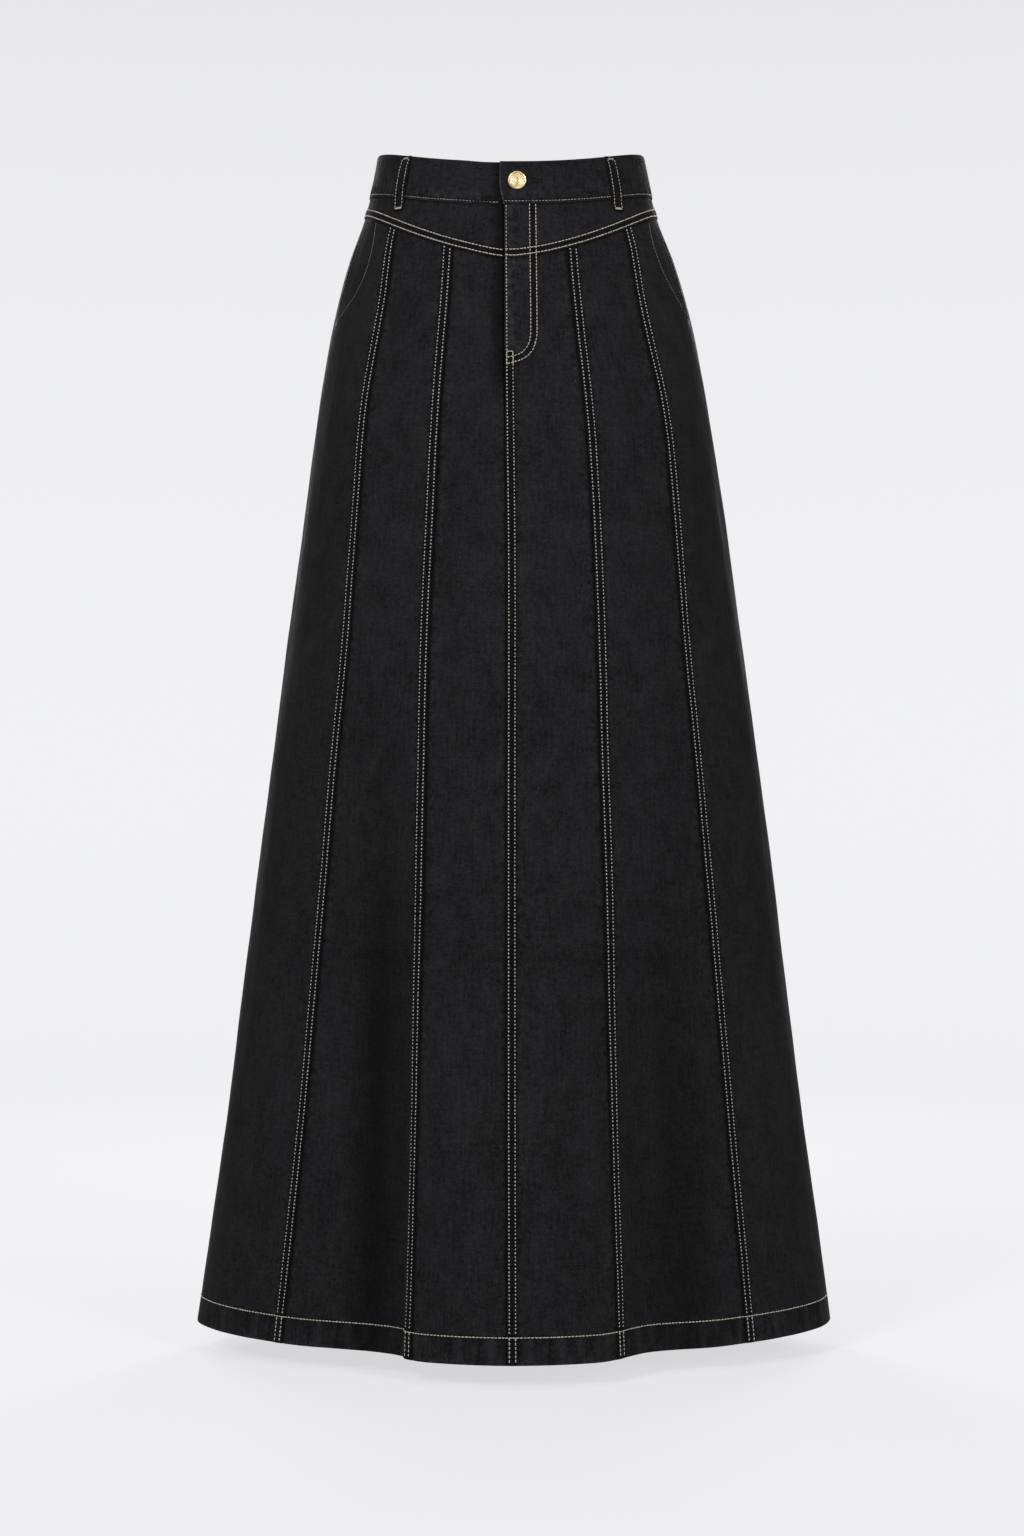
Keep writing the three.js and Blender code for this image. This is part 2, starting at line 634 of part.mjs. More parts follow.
add('waistband', waistband(shankHole()), DENIM);
for (const [place, angle] of Object.entries(LOOP_ANGLES)) {
  add(`belt_loop_${place}`, beltLoop(angle), DENIM);
}
add('fly_shield', flyShield(), DENIM_INSIDE);
add('zip', zip(), ZIP_TAPE);
add('pocket_bag_left', pocketBag(-1), DENIM_INSIDE);
add('pocket_bag_right', pocketBag(1), DENIM_INSIDE);
alignToButton(add('button', new THREE.LatheGeometry(buttonProfile(), BUTTON_SIDES), BRASS));

export default skirt;
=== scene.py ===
# The denim skirt's looks: cloth, seams, stitching, button, floor, light and camera.
# Lengths are in millimetres until a mesh is made, and angles in degrees: 0 is the centre front,
# 90 the right side as seen from the front, 180 the centre back.

import math

import bpy
import numpy as np
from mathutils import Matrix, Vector


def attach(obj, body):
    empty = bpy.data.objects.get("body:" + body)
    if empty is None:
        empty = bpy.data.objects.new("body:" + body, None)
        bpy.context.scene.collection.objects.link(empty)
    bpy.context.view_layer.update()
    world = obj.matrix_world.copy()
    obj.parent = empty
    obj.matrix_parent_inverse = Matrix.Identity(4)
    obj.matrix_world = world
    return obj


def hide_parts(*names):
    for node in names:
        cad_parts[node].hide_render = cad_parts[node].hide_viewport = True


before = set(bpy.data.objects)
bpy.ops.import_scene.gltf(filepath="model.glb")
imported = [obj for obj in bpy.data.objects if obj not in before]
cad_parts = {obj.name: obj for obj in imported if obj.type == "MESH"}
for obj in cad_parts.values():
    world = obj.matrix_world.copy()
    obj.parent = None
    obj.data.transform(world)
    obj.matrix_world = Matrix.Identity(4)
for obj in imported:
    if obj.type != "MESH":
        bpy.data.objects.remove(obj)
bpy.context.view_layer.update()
MM = 0.001
rng = np.random.default_rng(7306)

# Form of the skirt, as in its solids
HEM_Z = -1055
HEM_SIDE_RISE = 4.5
HEM_SIDE_CURVE = 10
BAND_HEIGHT = 39
BAND_TOP_FRONT = -3.3
BAND_TOP_SIDE = 17
BAND_TOP_BACK = 24
BAND_CURVE = 2.2
BAND_TUCK = 3.5
BAND_LAP_ANGLE = -4.6
BAND_UNDER_ANGLE = 13.5
BAND_LAP_LEAN = 1.5
YOKE_POINT = -91.5
YOKE_SIDE = -40
YOKE_CURVE = 1.5
FLY_BOTTOM = -190
FLY_UNDERLAP = 6
FLY_TUCK = 2.5
TUCK_FROM = -44
TUCK_FULL = -11
TUCK_FADE = 45
BOX_TOP = -176.5
MOUTH_TOP = -48
MOUTH_BOTTOM = -138
MOUTH_GAPE = 4.2
MOUTH_ROLL = 0.8
SHIELD_DEPTH = 4.1
POCKET_DEPTH = 2.1

# Cloth: how deep a panel's inner face lies, and how thin two faces may come together
CLOTH_DEEP = -0.9
CLOTH_LEAST = 0.35

SECTION_COLUMNS = ("z", "half", "front", "back", "pinch", "shift")
SECTIONS = [
    (20, 120.9, 93, 92, 0, -1.0),
    (-18, 128.6, 97, 100, 0, -1.0),
    (-39, 133.8, 100, 107, 0, -0.9),
    (-81, 149.3, 107, 120, 0, -0.3),
    (-131, 163.2, 116, 133, 0.01, 0.5),
    (-187, 174.1, 124, 141, 0.01, 1.0),
    (-260, 185.3, 132, 147, 0.02, 1.8),
    (-343, 196.7, 140, 153, 0.03, 2.5),
    (-573, 227.5, 163, 172, 0.07, 2.8),
    (-849, 262.6, 192, 197, 0.12, 1.9),
    (-1055, 291.3, 214, 217, 0.15, 1.6),
]

# Hollows between the hanging folds: angle, reach inwards, reach outwards, depth, where it starts
FOLDS = [
    (-29, 14, 24, 19, -420),
    (30, 16, 20, 19, -540),
    (-149, 17, 22, 17, -500),
    (152, 14, 24, 18, -440),
    (-104, 16, 18, 9, -620),
    (109, 18, 15, 10, -560),
]

SEAM_COLUMNS = ("z", "centre", "inner_left", "inner_right", "outer_left", "outer_right", "side")
SEAMS = [
    (-40, -2.6, -21.4, 20.2, -47.6, 46.6, 77),
    (-120, -2.5, -20.4, 19.2, -44.8, 44.4, 77),
    (-260, -2.3, -21.5, 20.8, -47.7, 48.7, 82),
    (-400, -2.0, -21.8, 20.7, -47.7, 48.4, 88),
    (-572, -1.9, -21.2, 20.0, -49.5, 50.1, 90),
    (-800, -1.5, -20.3, 20.0, -51.9, 53.2, 90),
    (-1055, -1.1, -19.3, 20.0, -54.7, 55.1, 90),
]

# Soft creases, placed one by one: angle, z, length, width, lean from upright in degrees, height (a
# trough is below 0)
CREASES = [
    (-9, -215, 70, 9, -24, -1.0),
    (-13, -250, 110, 14, -16, 0.8),
    (7, -215, 60, 10, 30, -0.7),
    (-62, -150, 120, 18, 8, -1.1),
    (-55, -200, 150, 26, 4, 0.9),
    (60, -160, 120, 18, -8, -1.0),
    (54, -215, 150, 26, -4, 0.9),
    (-35, -330, 260, 30, 3, 1.0),
    (36, -380, 260, 32, -3, 1.0),
    (-10, -520, 300, 26, 1, -0.8),
    (9, -620, 330, 28, -2, 0.9),
    (-70, -520, 340, 34, 2, 1.3),
    (72, -560, 340, 34, -2, 1.2),
    (-37, -760, 330, 24, 3, -1.2),
    (42, -840, 330, 24, -2, -1.0),
    (-12, -880, 260, 22, 0, 0.8),
    (10, -900, 240, 20, 0, -0.8),
    (165, -150, 90, 14, 12, -1.0),
    (-168, -170, 100, 16, -10, -0.9),
    (140, -190, 150, 24, 6, 1.1),
    (-140, -210, 150, 26, -5, 1.0),
    (110, -330, 260, 32, 2, -1.0),
    (-112, -340, 260, 30, -2, 1.1),
    (171, -480, 300, 26, 0, 0.9),
    (-170, -560, 320, 26, 1, -0.9),
    (128, -640, 330, 28, 2, 1.0),
    (-126, -700, 330, 28, -2, -1.1),
    (178, -860, 280, 24, 0, 0.9),
    (95, -820, 300, 26, 0, 1.0),
    (-92, -860, 300, 24, 0, -0.9),
]


def smooth(t):
    t = np.clip(t, 0, 1)
    return t * t * (3 - 2 * t)


def mix(a, b, t):
    return a + (b - a) * t


# A monotone cubic through one column of a table, as a function of z
def column(rows, names, name):
    table = sorted((row[0], row[names.index(name)]) for row in rows)
    x, y = np.array(table, float).T
    step = np.diff(y) / np.diff(x)
    m = np.concatenate([step[:1], np.zeros(len(x) - 2), step[-1:]])
    for i in range(1, len(x) - 1):
        before, after = step[i - 1], step[i]
        if before * after > 0:
            w1 = 2 * (x[i + 1] - x[i]) + (x[i] - x[i - 1])
            w2 = (x[i + 1] - x[i]) + 2 * (x[i] - x[i - 1])
            m[i] = (w1 + w2) / (w1 / before + w2 / after)

    def at(z):
        z = np.asarray(z, float)
        i = np.clip(np.searchsorted(x, z, side="right") - 1, 0, len(x) - 2)
        h = x[i + 1] - x[i]
        t = (z - x[i]) / h
        inside = (
            (1 + 2 * t) * (1 - t) ** 2 * y[i]
            + t * (1 - t) ** 2 * h * m[i]
            + t * t * (3 - 2 * t) * y[i + 1]
            + t * t * (t - 1) * h * m[i + 1]
        )
        above = y[-1] + m[-1] * (z - x[-1])
        below = y[0] + m[0] * (z - x[0])
        return np.where(z < x[0], below, np.where(z > x[-1], above, inside))

    return at


half, front, back, pinch, shift = (
    column(SECTIONS, SECTION_COLUMNS, name) for name in SECTION_COLUMNS[1:]
)
seam = {name: column(SEAMS, SEAM_COLUMNS, name) for name in SEAM_COLUMNS[1:]}
seam["side_left"] = lambda z: -seam["side"](z)
seam["side_right"] = seam["side"]
seam["back_outer_right"] = lambda z: 180 - seam["outer_right"](z)
seam["back_inner_right"] = lambda z: 180 - seam["inner_right"](z)
seam["back_outer_left"] = lambda z: -180 - seam["outer_left"](z)
seam["back_inner_left"] = lambda z: -180 - seam["inner_left"](z)
seam["back_centre"] = lambda z: 180 + seam["centre"](z)
seam["back_centre_from_left"] = lambda z: seam["centre"](z) - 180


def turned(angle):
    return (np.asarray(angle, float) + 180) % 360 - 180


def fold_depth(angle, z):
    total = 0
    for at, inner, outer, depth, start in FOLDS:
        away = (turned(angle) - at) * (1 if at > 0 else -1)
        outwards = (away > 0) == (abs(at) < 90)
        reach = np.where(outwards, outer, inner)
        near = np.cos(np.pi * np.clip(away / reach, -1, 1) / 2) ** 2
        total = total + depth * smooth((start - z) / (start - HEM_Z)) * near
    return total


def surface(angle, z):
    angle, z = np.broadcast_arrays(np.asarray(angle, float), np.asarray(z, float))
    s, c = np.sin(np.radians(angle)), np.cos(np.radians(angle))
    drawn = 1 - pinch(z) * np.sin(np.radians(2 * angle)) ** 2
    x = half(z) * s * drawn
    y = -np.where(c > 0, front(z), back(z)) * c * drawn
    distance = np.hypot(x, y)
    kept = (distance - fold_depth(angle, z)) / distance
    return np.stack([x * kept + shift(z), y * kept, z], -1)


PROBE_ANGLE = 0.4
PROBE_Z = 2


# Millimetres a degree round the skirt, with its direction
def across(angle, z):
    return (surface(angle + PROBE_ANGLE, z) - surface(angle - PROBE_ANGLE, z)) / (2 * PROBE_ANGLE)


# The length of the same
def degree_length(angle, z):
    return np.linalg.norm(across(angle, z), axis=-1)


def normal(angle, z):
    down = surface(angle, z - PROBE_Z) - surface(angle, z + PROBE_Z)
    n = np.cross(down, across(angle, z))
    return n / np.linalg.norm(n, axis=-1, keepdims=True)


def along(angle, z, millimetres):
    return angle + millimetres / degree_length(angle, z)


def angle_of_x(x, z):
    return np.degrees(np.arcsin((x - shift(z)) / half(z)))


# The left fold turns sharply beside its seam, lower down: depth, degrees of its step and of its return
FOLD_EDGE = 5.0
FOLD_EDGE_FROM = -720
FOLD_EDGE_GROWS = 260
FOLD_EDGE_STEP = (2.3, 1.1)
FOLD_EDGE_RETURN = (3.6, 7)

# The small pleat that the end of the fly pulls: middle, half height, height
PLEAT_Z = -194
PLEAT_REACH = 12
PLEAT_HEIGHT = 0.9

# The cloth lies quieter on the yoke, and hangs freer below the hips
QUIET_FROM = -95
QUIET_OVER = 60
HANG_FROM = -90
HANG_OVER = 250
CREASE_DEGREES = [float(degree_length(float(row[0]), float(row[1]))) for row in CREASES]


# Small unevenness of the cloth that the solids leave out
def relief(angle, z):
    angle, z = np.broadcast_arrays(np.asarray(angle, float), np.asarray(z, float))
    total = np.zeros(angle.shape)
    for (at, height, length, width, lean, depth), degree in zip(CREASES, CREASE_DEGREES):
        x = turned(angle - at) * degree
        y = z - height
        c, s = math.cos(math.radians(lean)), math.sin(math.radians(lean))
        u, v = c * x - s * y, s * x + c * y
        total += depth * np.exp(-((u / width) ** 2) - (v / length * 2) ** 2)
    away = seam["inner_left"](z) - turned(angle)
    step = smooth((away - FOLD_EDGE_STEP[0]) / FOLD_EDGE_STEP[1])
    step = step * (1 - smooth((away - FOLD_EDGE_RETURN[0]) / FOLD_EDGE_RETURN[1]))
    total -= FOLD_EDGE * step * smooth((FOLD_EDGE_FROM - z) / FOLD_EDGE_GROWS)
    pleat = (seam["centre"](z) - turned(angle)) * 3 - 2.2 - 2.4 * ((z - PLEAT_Z) / 16) ** 2
    total += PLEAT_HEIGHT * np.exp(-(pleat**2)) * np.exp(-(((z - PLEAT_Z) / PLEAT_REACH) ** 4))
    a = np.radians(angle)
    hang = smooth((HANG_FROM - z) / HANG_OVER)
    total += hang * 0.5 * np.sin(17 * a + 0.011 * z + 1.3) * np.sin(0.0093 * z + 5 * a)
    total += hang * 0.28 * np.sin(31 * a - 0.017 * z + 0.4) * np.sin(0.021 * z + 9 * a + 2)
    total += 0.14 * np.sin(52 * a + 0.05 * z) * np.sin(0.06 * z - 23 * a + 1)
    return total * (1 - 0.6 * smooth((z - QUIET_FROM) / QUIET_OVER))


def skin(angle, z, lift):
    lift = np.asarray(lift) + relief(angle, z)
    return surface(angle, z) + normal(angle, z) * lift[..., None]


# Edges that run round the skirt
def band_top(angle):
    s, c = np.abs(np.sin(np.radians(angle))), np.cos(np.radians(angle))
    return mix(np.where(c > 0, BAND_TOP_FRONT, BAND_TOP_BACK), BAND_TOP_SIDE, s**BAND_CURVE)


def band_bottom(angle):
    return band_top(angle) - BAND_HEIGHT


def yoke_bottom(angle):
    return mix(YOKE_POINT, YOKE_SIDE, np.abs(np.sin(np.radians(angle))) ** YOKE_CURVE)


def hem_height(angle):
    return HEM_Z + HEM_SIDE_RISE * np.abs(np.sin(np.radians(angle))) ** HEM_SIDE_CURVE


def left_tuck(x, z):
    deep = smooth((x - TUCK_FROM) / (TUCK_FULL - TUCK_FROM))
    return FLY_TUCK * deep * smooth((z - (FLY_BOTTOM - 10) + TUCK_FADE) / TUCK_FADE)


def underlap(z):
    return FLY_UNDERLAP * smooth((z - (FLY_BOTTOM - 3)) / 10)


# The two J-shaped lines of the fly, by x and z
J_LINES = [
    [
        (15.4, -42), (16.7, -154), (16.4, -163), (14.4, -171.3), (9.7, -177), (4.5, -180),
        (-4.6, -182),
    ],
    [
        (20.9, -42), (22.2, -154), (21.8, -165), (18.6, -175.2), (13.5, -181), (6.7, -184.8),
        (-4.6, -187.8),
    ],
]


# Cuts the corners of a line three times and spaces its points evenly
def smooth_curve(points, count=160):
    points = np.array(points, float)
    for _ in range(3):
        a, b = points[:-1], points[1:]
        cut = np.stack([0.75 * a + 0.25 * b, 0.25 * a + 0.75 * b], 1).reshape(-1, 2)
        points = np.concatenate([points[:1], cut, points[-1:]])
    steps = np.concatenate([[0], np.cumsum(np.linalg.norm(np.diff(points, axis=0), axis=1))])
    s = np.linspace(0, steps[-1], count)
    return np.interp(s, steps, points[:, 0]), np.interp(s, steps, points[:, 1])


J_INNER, J_OUTER = (smooth_curve(line) for line in J_LINES)


def j_x(curve, z):
    return np.interp(-np.asarray(z, float), -curve[1], curve[0])


FACING_SLOPE = 1.6
FACING_RISE = 0.95


# The double cloth of the fly, up to its outer line
def fly_facing(angle, z):
    x = surface(angle, z)[..., 0]
    edge = smooth((j_x(J_OUTER, z) + FACING_SLOPE - x) / FACING_SLOPE) * smooth((z - FLY_BOTTOM) / 2)
    return edge * (turned(angle) > seam["centre"](z) + 0.1) * (turned(angle) < 40)


# The darker strip between the two J-shaped lines
def fly_strip(angle, z):
    x = surface(angle, z)[..., 0]
    inner, outer = j_x(J_INNER, z), j_x(J_OUTER, z)
    reach = np.maximum(0.5 * (outer - inner), 1.5)
    away = np.abs(x - 0.5 * (inner + outer)) / reach
    return (1 - smooth((away - 0.8) / 0.5)) * (z > FLY_BOTTOM + 1)


def mouth_open(z):
    share = (np.asarray(z, float) - MOUTH_TOP) / (MOUTH_BOTTOM - MOUTH_TOP)
    return np.sin(np.pi * np.clip(share, 0, 1)) ** 0.6


# Makes a mesh of quads from arrays, with the cloth's own coordinates and its wear and painted shading
def make_mesh(name, points, faces, uv, wear_and_shading, pucker=None, sharp=55):
    mesh = bpy.data.meshes.new(name)
    mesh.vertices.add(len(points))
    mesh.vertices.foreach_set("co", (points * MM).astype(np.float32).ravel())
    sides = faces.shape[1]
    mesh.loops.add(faces.size)
    mesh.loops.foreach_set("vertex_index", faces.astype(np.int32).ravel())
    mesh.polygons.add(len(faces))
    mesh.polygons.foreach_set("loop_start", np.arange(0, faces.size, sides, dtype=np.int32))
    mesh.polygons.foreach_set("use_smooth", np.ones(len(faces), bool))
    mesh.update(calc_edges=True)
    if uv is not None:
        layer = mesh.uv_layers.new(name="cloth")
        layer.uv.foreach_set("vector", (uv[faces.ravel()] * MM).astype(np.float32).ravel())
    for label, values in (("wear_and_shading", wear_and_shading), ("pucker", pucker)):
        if values is not None:
            at = mesh.attributes.new(label, "FLOAT", "POINT")
            at.data.foreach_set("value", values.astype(np.float32).ravel())
    mesh.validate()
    if sharp:
        mesh.set_sharp_from_angle(angle=math.radians(sharp))
    piece = bpy.data.objects.new(name, mesh)
    bpy.context.scene.collection.objects.link(piece)
    return piece


# A closed sheet between two grids of points, rows running down and columns from left to right
def sheet(name, outer, inner, uv, wear_and_shading, pucker):
    rows, columns = outer.shape[:2]
    points = np.concatenate([outer.reshape(-1, 3), inner.reshape(-1, 3)])
    o = np.arange(rows * columns).reshape(rows, columns)
    i = o + rows * columns
    faces = [
        np.stack([o[:-1, :-1], o[1:, :-1], o[1:, 1:], o[:-1, 1:]], -1).reshape(-1, 4),
        np.stack([i[:-1, :-1], i[:-1, 1:], i[1:, 1:], i[1:, :-1]], -1).reshape(-1, 4),
        np.stack([o[:-1, 0], i[:-1, 0], i[1:, 0], o[1:, 0]], -1),
        np.stack([o[:-1, -1], o[1:, -1], i[1:, -1], i[:-1, -1]], -1),
        np.stack([o[0, :-1], o[0, 1:], i[0, 1:], i[0, :-1]], -1),
        np.stack([o[-1, :-1], i[-1, :-1], i[-1, 1:], o[-1, 1:]], -1),
    ]
    uv, wear_and_shading, pucker = (
        np.concatenate([values.reshape(rows * columns, -1)] * 2) for values in (uv, wear_and_shading, pucker)
    )
    piece = make_mesh(name, points, np.concatenate(faces), uv, wear_and_shading[:, 0], pucker[:, 0])
    reverse = np.zeros(sum(len(group) for group in faces), np.int32)
    reverse[len(faces[0]):len(faces[0]) + len(faces[1])] = 1
    piece.data.polygons.foreach_set("material_index", reverse)
    return piece


# Columns beside a seam: distance from the seam line, outer face, inner face, wear and painted shade,
# pucker
# Painted shade: low wear in the ditch by the seam's edge and by the step beyond its second line
LAPPED_OVER = [
    (0, 0.05, -0.2, 0.2, 0),
    (0.12, 0.55, -0.2, 0.4, 0),
    (0.45, 0.9, -0.2, 0.45, 0.3),
    (1.1, 1, -0.2, 0.34, 0.8),
    (1.8, 0.78, -0.2, 0.18, 1),
    (2.6, 1, -0.2, 0.26, 1),
    (4.5, 1.1, -0.2, 0.38, 1),
    (6.4, 1, -0.2, 0.26, 1),
    (7.2, 0.74, -0.2, 0.18, 1),
    (8, 0.72, -0.25, 0.28, 1),
    (8.9, 0.4, -0.5, 0.5, 1),
    (10, 0.1, -0.8, 0.86, 0.9),
    (12.5, 0, -0.9, 1, 0.6),
    (17, 0, -0.9, 1, 0),
]
# Painted shade: low wear where the cloth lies under the edge that laps it
LAPPED_UNDER = [
    (-2.4, -0.5, -1.4, 0.3, 0),
    (-0.4, -0.45, -1.35, 0.15, 0),
    (0.5, -0.4, -1.25, 0.12, 0.2),
    (1.3, -0.28, -1.15, 0.24, 0.7),
    (2.6, -0.05, -0.95, 0.62, 1),
    (4.5, 0, -0.9, 0.95, 0.9),
    (8, 0, -0.9, 1, 0.5),
    (13, 0, -0.9, 1, 0),
]
FLY_EDGE = LAPPED_OVER[:-1] + [
    (d, 0, -0.9, 1, 0.3)
    for d in (15.5, 18.5, 20.8, 22.3, 23.6, 25, 26.4, 27.8, 29.2, 30.6, 32.5)
]
PLAIN = [
    (0.1, -0.5, -0.9, 0.6, 0),
    (0.45, -0.1, -0.9, 0.85, 0.4),
    (1.3, 0.06, -0.9, 1.05, 0.6),
    (4, 0.05, -0.9, 1, 0.5),
    (9, 0, -0.9, 1, 0),
]
# Painted shade: low wear where the cloth lies under the edge that laps it
UNDER_SIDE = [
    (-2.2, -1, -1.5, 0.4, 0),
    (-0.3, -0.98, -1.5, 0.25, 0),
    (0.35, -0.45, -1.3, 0.5, 0.3),
    (1.2, 0, -0.95, 1, 0.6),
    (4, 0.05, -0.9, 1, 0.5),
    (9, 0, -0.9, 1, 0),
]


# Columns that stand back from the seam where the pocket mouth is open
def gaping(distance):
    return lambda z: distance + MOUTH_GAPE * mouth_open(z)


# Painted highlight: the high wear on the rolled edge of the open mouth
POCKET_EDGE = [
    (gaping(0.15), -0.3, -0.7, 0.8, 0),
    (gaping(0.6), 0.1, -0.9, 1.5, 0.4),
    (gaping(1.6), 0.1, -0.9, 1.1, 0.6),
    (gaping(4), 0.05, -0.9, 1, 0.5),
    (9, 0, -0.9, 1, 0.2),
    (16, 0, -0.9, 1, 0),
]
# Painted shade: low wear where the cloth lies under the fly's edge
UNDER_FLY = [
    (lambda z: 0.15 - underlap(z) - 2 * (1 - underlap(z) / FLY_UNDERLAP), -0.5, -1.4, 0.4, 0),
    (lambda z: 0.4 - 0.4 * underlap(z), -0.45, -1.35, 0.2, 0),
    (0.6, -0.35, -1.2, 0.15, 0.2),
    (1.4, -0.2, -1.05, 0.4, 0.6),
    (2.2, -0.05, -0.95, 0.7, 0.8),
    (3.2, 0, -0.9, 0.92, 0.8),
    (5.5, 0, -0.9, 1, 0.5),
    (9, 0, -0.9, 1, 0.3),
    (14, 0, -0.9, 1, 0),
]


def value(distance, z):
    return distance(z) if callable(distance) else distance


AT_START, BETWEEN, AT_END = 0, 1, 2
BESIDE_SEAMS = 20


# One panel between two seams. start, end: functions of z for the angles of its edges, with the
# columns beside them. spacing: millimetres between its other columns. rows: how far down each row
# lies, from the top edge or from the bottom edge, with what is added to its faces, how much of the
# seams' height it keeps, its pucker, wear and painted shade. fly: whether it has the fly's double
# cloth.
def panel(
    name, start, end, near_start, near_end, spacing, top, bottom, rows, shape=None, fly=False
):
    middle = 0.5 * (start(HEM_Z / 2) + end(HEM_Z / 2))
    reach = (end(HEM_Z / 2) - start(HEM_Z / 2)) * float(degree_length(middle, HEM_Z / 2))
    between = max(2, round((reach - BESIDE_SEAMS) / spacing))
    columns = [(AT_START, *c) for c in near_start]
    columns += [(BETWEEN, k / between, 0.0, CLOTH_DEEP, 1.0, 0.0) for k in range(1, between)]
    columns += [(AT_END, *c) for c in reversed(near_end)]
    kind = np.array([c[0] for c in columns])[None, :]
    lift, deep, worn_and_shaded, puckered = (
        np.array([c[k] for c in columns], float)[None, :] for k in (2, 3, 4, 5)
    )
    share, offset, add_out, add_in, keep, row_pucker, row_wear_and_shading = (
        np.array([row[k] for row in rows], float)[:, None] for k in range(7)
    )

    def angles(z):
        distance = np.stack([value(c[1], z[:, k]) + 0 * z[:, k] for k, c in enumerate(columns)], 1)
        first, last = start(z), end(z)
        inner_first = along(first, z, value(near_start[-1][0], z))
        inner_last = along(last, z, -value(near_end[-1][0], z))
        at = np.where(kind == AT_START, along(first, z, distance), along(last, z, -distance))
        return np.where(kind == BETWEEN, mix(inner_first, inner_last, distance), at)

    z = np.full((len(rows), len(columns)), -100.0)
    for _ in range(3):
        angle = angles(z)
        z = mix(top(angle), bottom(angle), share) + offset
    angle = angles(z)
    extra = shape(angle, z) if shape else 0
    out = lift * keep + add_out + extra
    inn = deep * keep + CLOTH_DEEP * (1 - keep) + add_in + np.minimum(add_out, 0) + extra
    if fly:
        facing = fly_facing(angle, z)
        above_box = smooth((z - BOX_TOP) / 4) * (kind == AT_START)
        raised = FACING_RISE * facing * np.clip(lift + 0.2, 0, 1) ** (kind == AT_START)
        out = np.maximum(out, raised * np.where(add_out > 0.3, 1.0, keep) + add_out * 0.4)
        worn_and_shaded = mix(worn_and_shaded, np.where(lift > 0.5, 1.2, 1.0), above_box)
        worn_and_shaded = worn_and_shaded * (1 + 0.14 * facing) * (1 - 0.62 * fly_strip(angle, z))
    mid_angle = 0.5 * (start(z) + end(z))
    u = (angle - mid_angle) * degree_length(mid_angle, z)
    return sheet(
        name, skin(angle, z, out), skin(angle, z, np.minimum(inn, out - CLOTH_LEAST)),
        np.stack([u + 37 * len(name), z], -1), worn_and_shaded * row_wear_and_shading * painted_shade(angle, z),
        np.maximum(puckered, row_pucker),
    )


# Painted shade in the hollows between the hanging folds: the cloth is darker there
VALLEY_SHADE = [
    # angle, half width in degrees, z where it starts, z where it is full, strength
    (-32.8, 6.6, -440, -800, 0.66),
    (39.5, 7.5, -540, -960, 0.48),
    (-152, 8, -560, -980, 0.42),
    (154, 8, -520, -960, 0.42),
    (-106, 9, -700, -1050, 0.25),
    (110, 9, -660, -1050, 0.25),
]
# Painted shade beside the fly's edge, and painted shadow in the open pocket mouths
UNDER_FLY_SHADE = 0.66
UNDER_FLY_FROM = -235
MOUTH_SHADE = 0.8


# Painted shade by place: fold hollows, beside the fly's edge, pocket mouths. 1 is the plain cloth
def painted_shade(angle, z):
    shade = np.ones(np.broadcast(angle, z).shape)
    for at, width, start, full, strength in VALLEY_SHADE:
        near = np.exp(-((turned(angle - at) / width) ** 2))
        shade *= 1 - strength * smooth((start - z) / (start - full)) * near
    from_centre = seam["centre"](z) - turned(angle)
    fly_shadow = smooth(from_centre / 0.3) * (1 - smooth((from_centre - 1.5) / 4))
    shade = shade * (1 - UNDER_FLY_SHADE * fly_shadow * smooth((z - UNDER_FLY_FROM) / 50))
    past_side = np.abs(turned(angle)) - seam["side"](z)
    mouth_shadow = smooth(past_side / 0.02) * (1 - smooth((past_side - 0.8) / 1.6)) * mouth_open(z)
    return shade * (1 - MOUTH_SHADE * mouth_shadow)


# Rows of a gore: share of its height, offset in millimetres, added to the outer and inner face,
# share kept of the seams' height, pucker, wear and painted shade
def gore_rows():
    # Painted shade: low wear under and just below the yoke's edge, and in the groove of the hem's line
    rows = [
        (0, 2.4, -0.5, -0.5, 0, 0, 0.5),
        (0, 0.3, -0.45, -0.45, 0, 0, 0.4),
        (0, -0.7, -0.35, -0.35, 0.3, 0.4, 0.5),
        (0, -1.7, -0.12, -0.12, 0.8, 0.6, 0.8),
        (0, -3.2, 0, 0, 1, 0.5, 1),
        (0, -6, 0, 0, 1, 0.3, 1),
    ]
    count = 158
    rows += [(k / count, -9 + 37 * k / count, 0, 0, 1, 0, 1) for k in range(count)]
    rows += [
        (1, 28, 0, 0, 1, 0.2, 1),
        (1, 26, 0, 0, 1, 0.5, 1.0),
        (1, 24.6, 0.02, 0, 1, 1.5, 0.85),
        (1, 23.5, -0.18, -0.5, 1, 2, 0.5),
        (1, 22.4, 0.06, -1.3, 1, 2, 0.75),
        (1, 20, 0.16, -1.5, 1, 2, 0.93),
        (1, 16, 0.2, -1.5, 1, 2, 0.95),
        (1, 12, 0.2, -1.5, 1, 2, 0.95),
        (1, 8, 0.2, -1.5, 1, 2, 0.95),
        (1, 4.5, 0.22, -1.5, 1, 2, 1.0),
        (1, 2, 0.2, -1.5, 1, 1.8, 1.2),
        (1, 0.8, 0.05, -1.35, 1, 1.5, 1.4),
        (1, 0.2, -0.3, -1.0, 1, 0.2, 1.2),
        (1, 0, -0.75, -0.6, 1, 0, 1),
    ]
    return rows


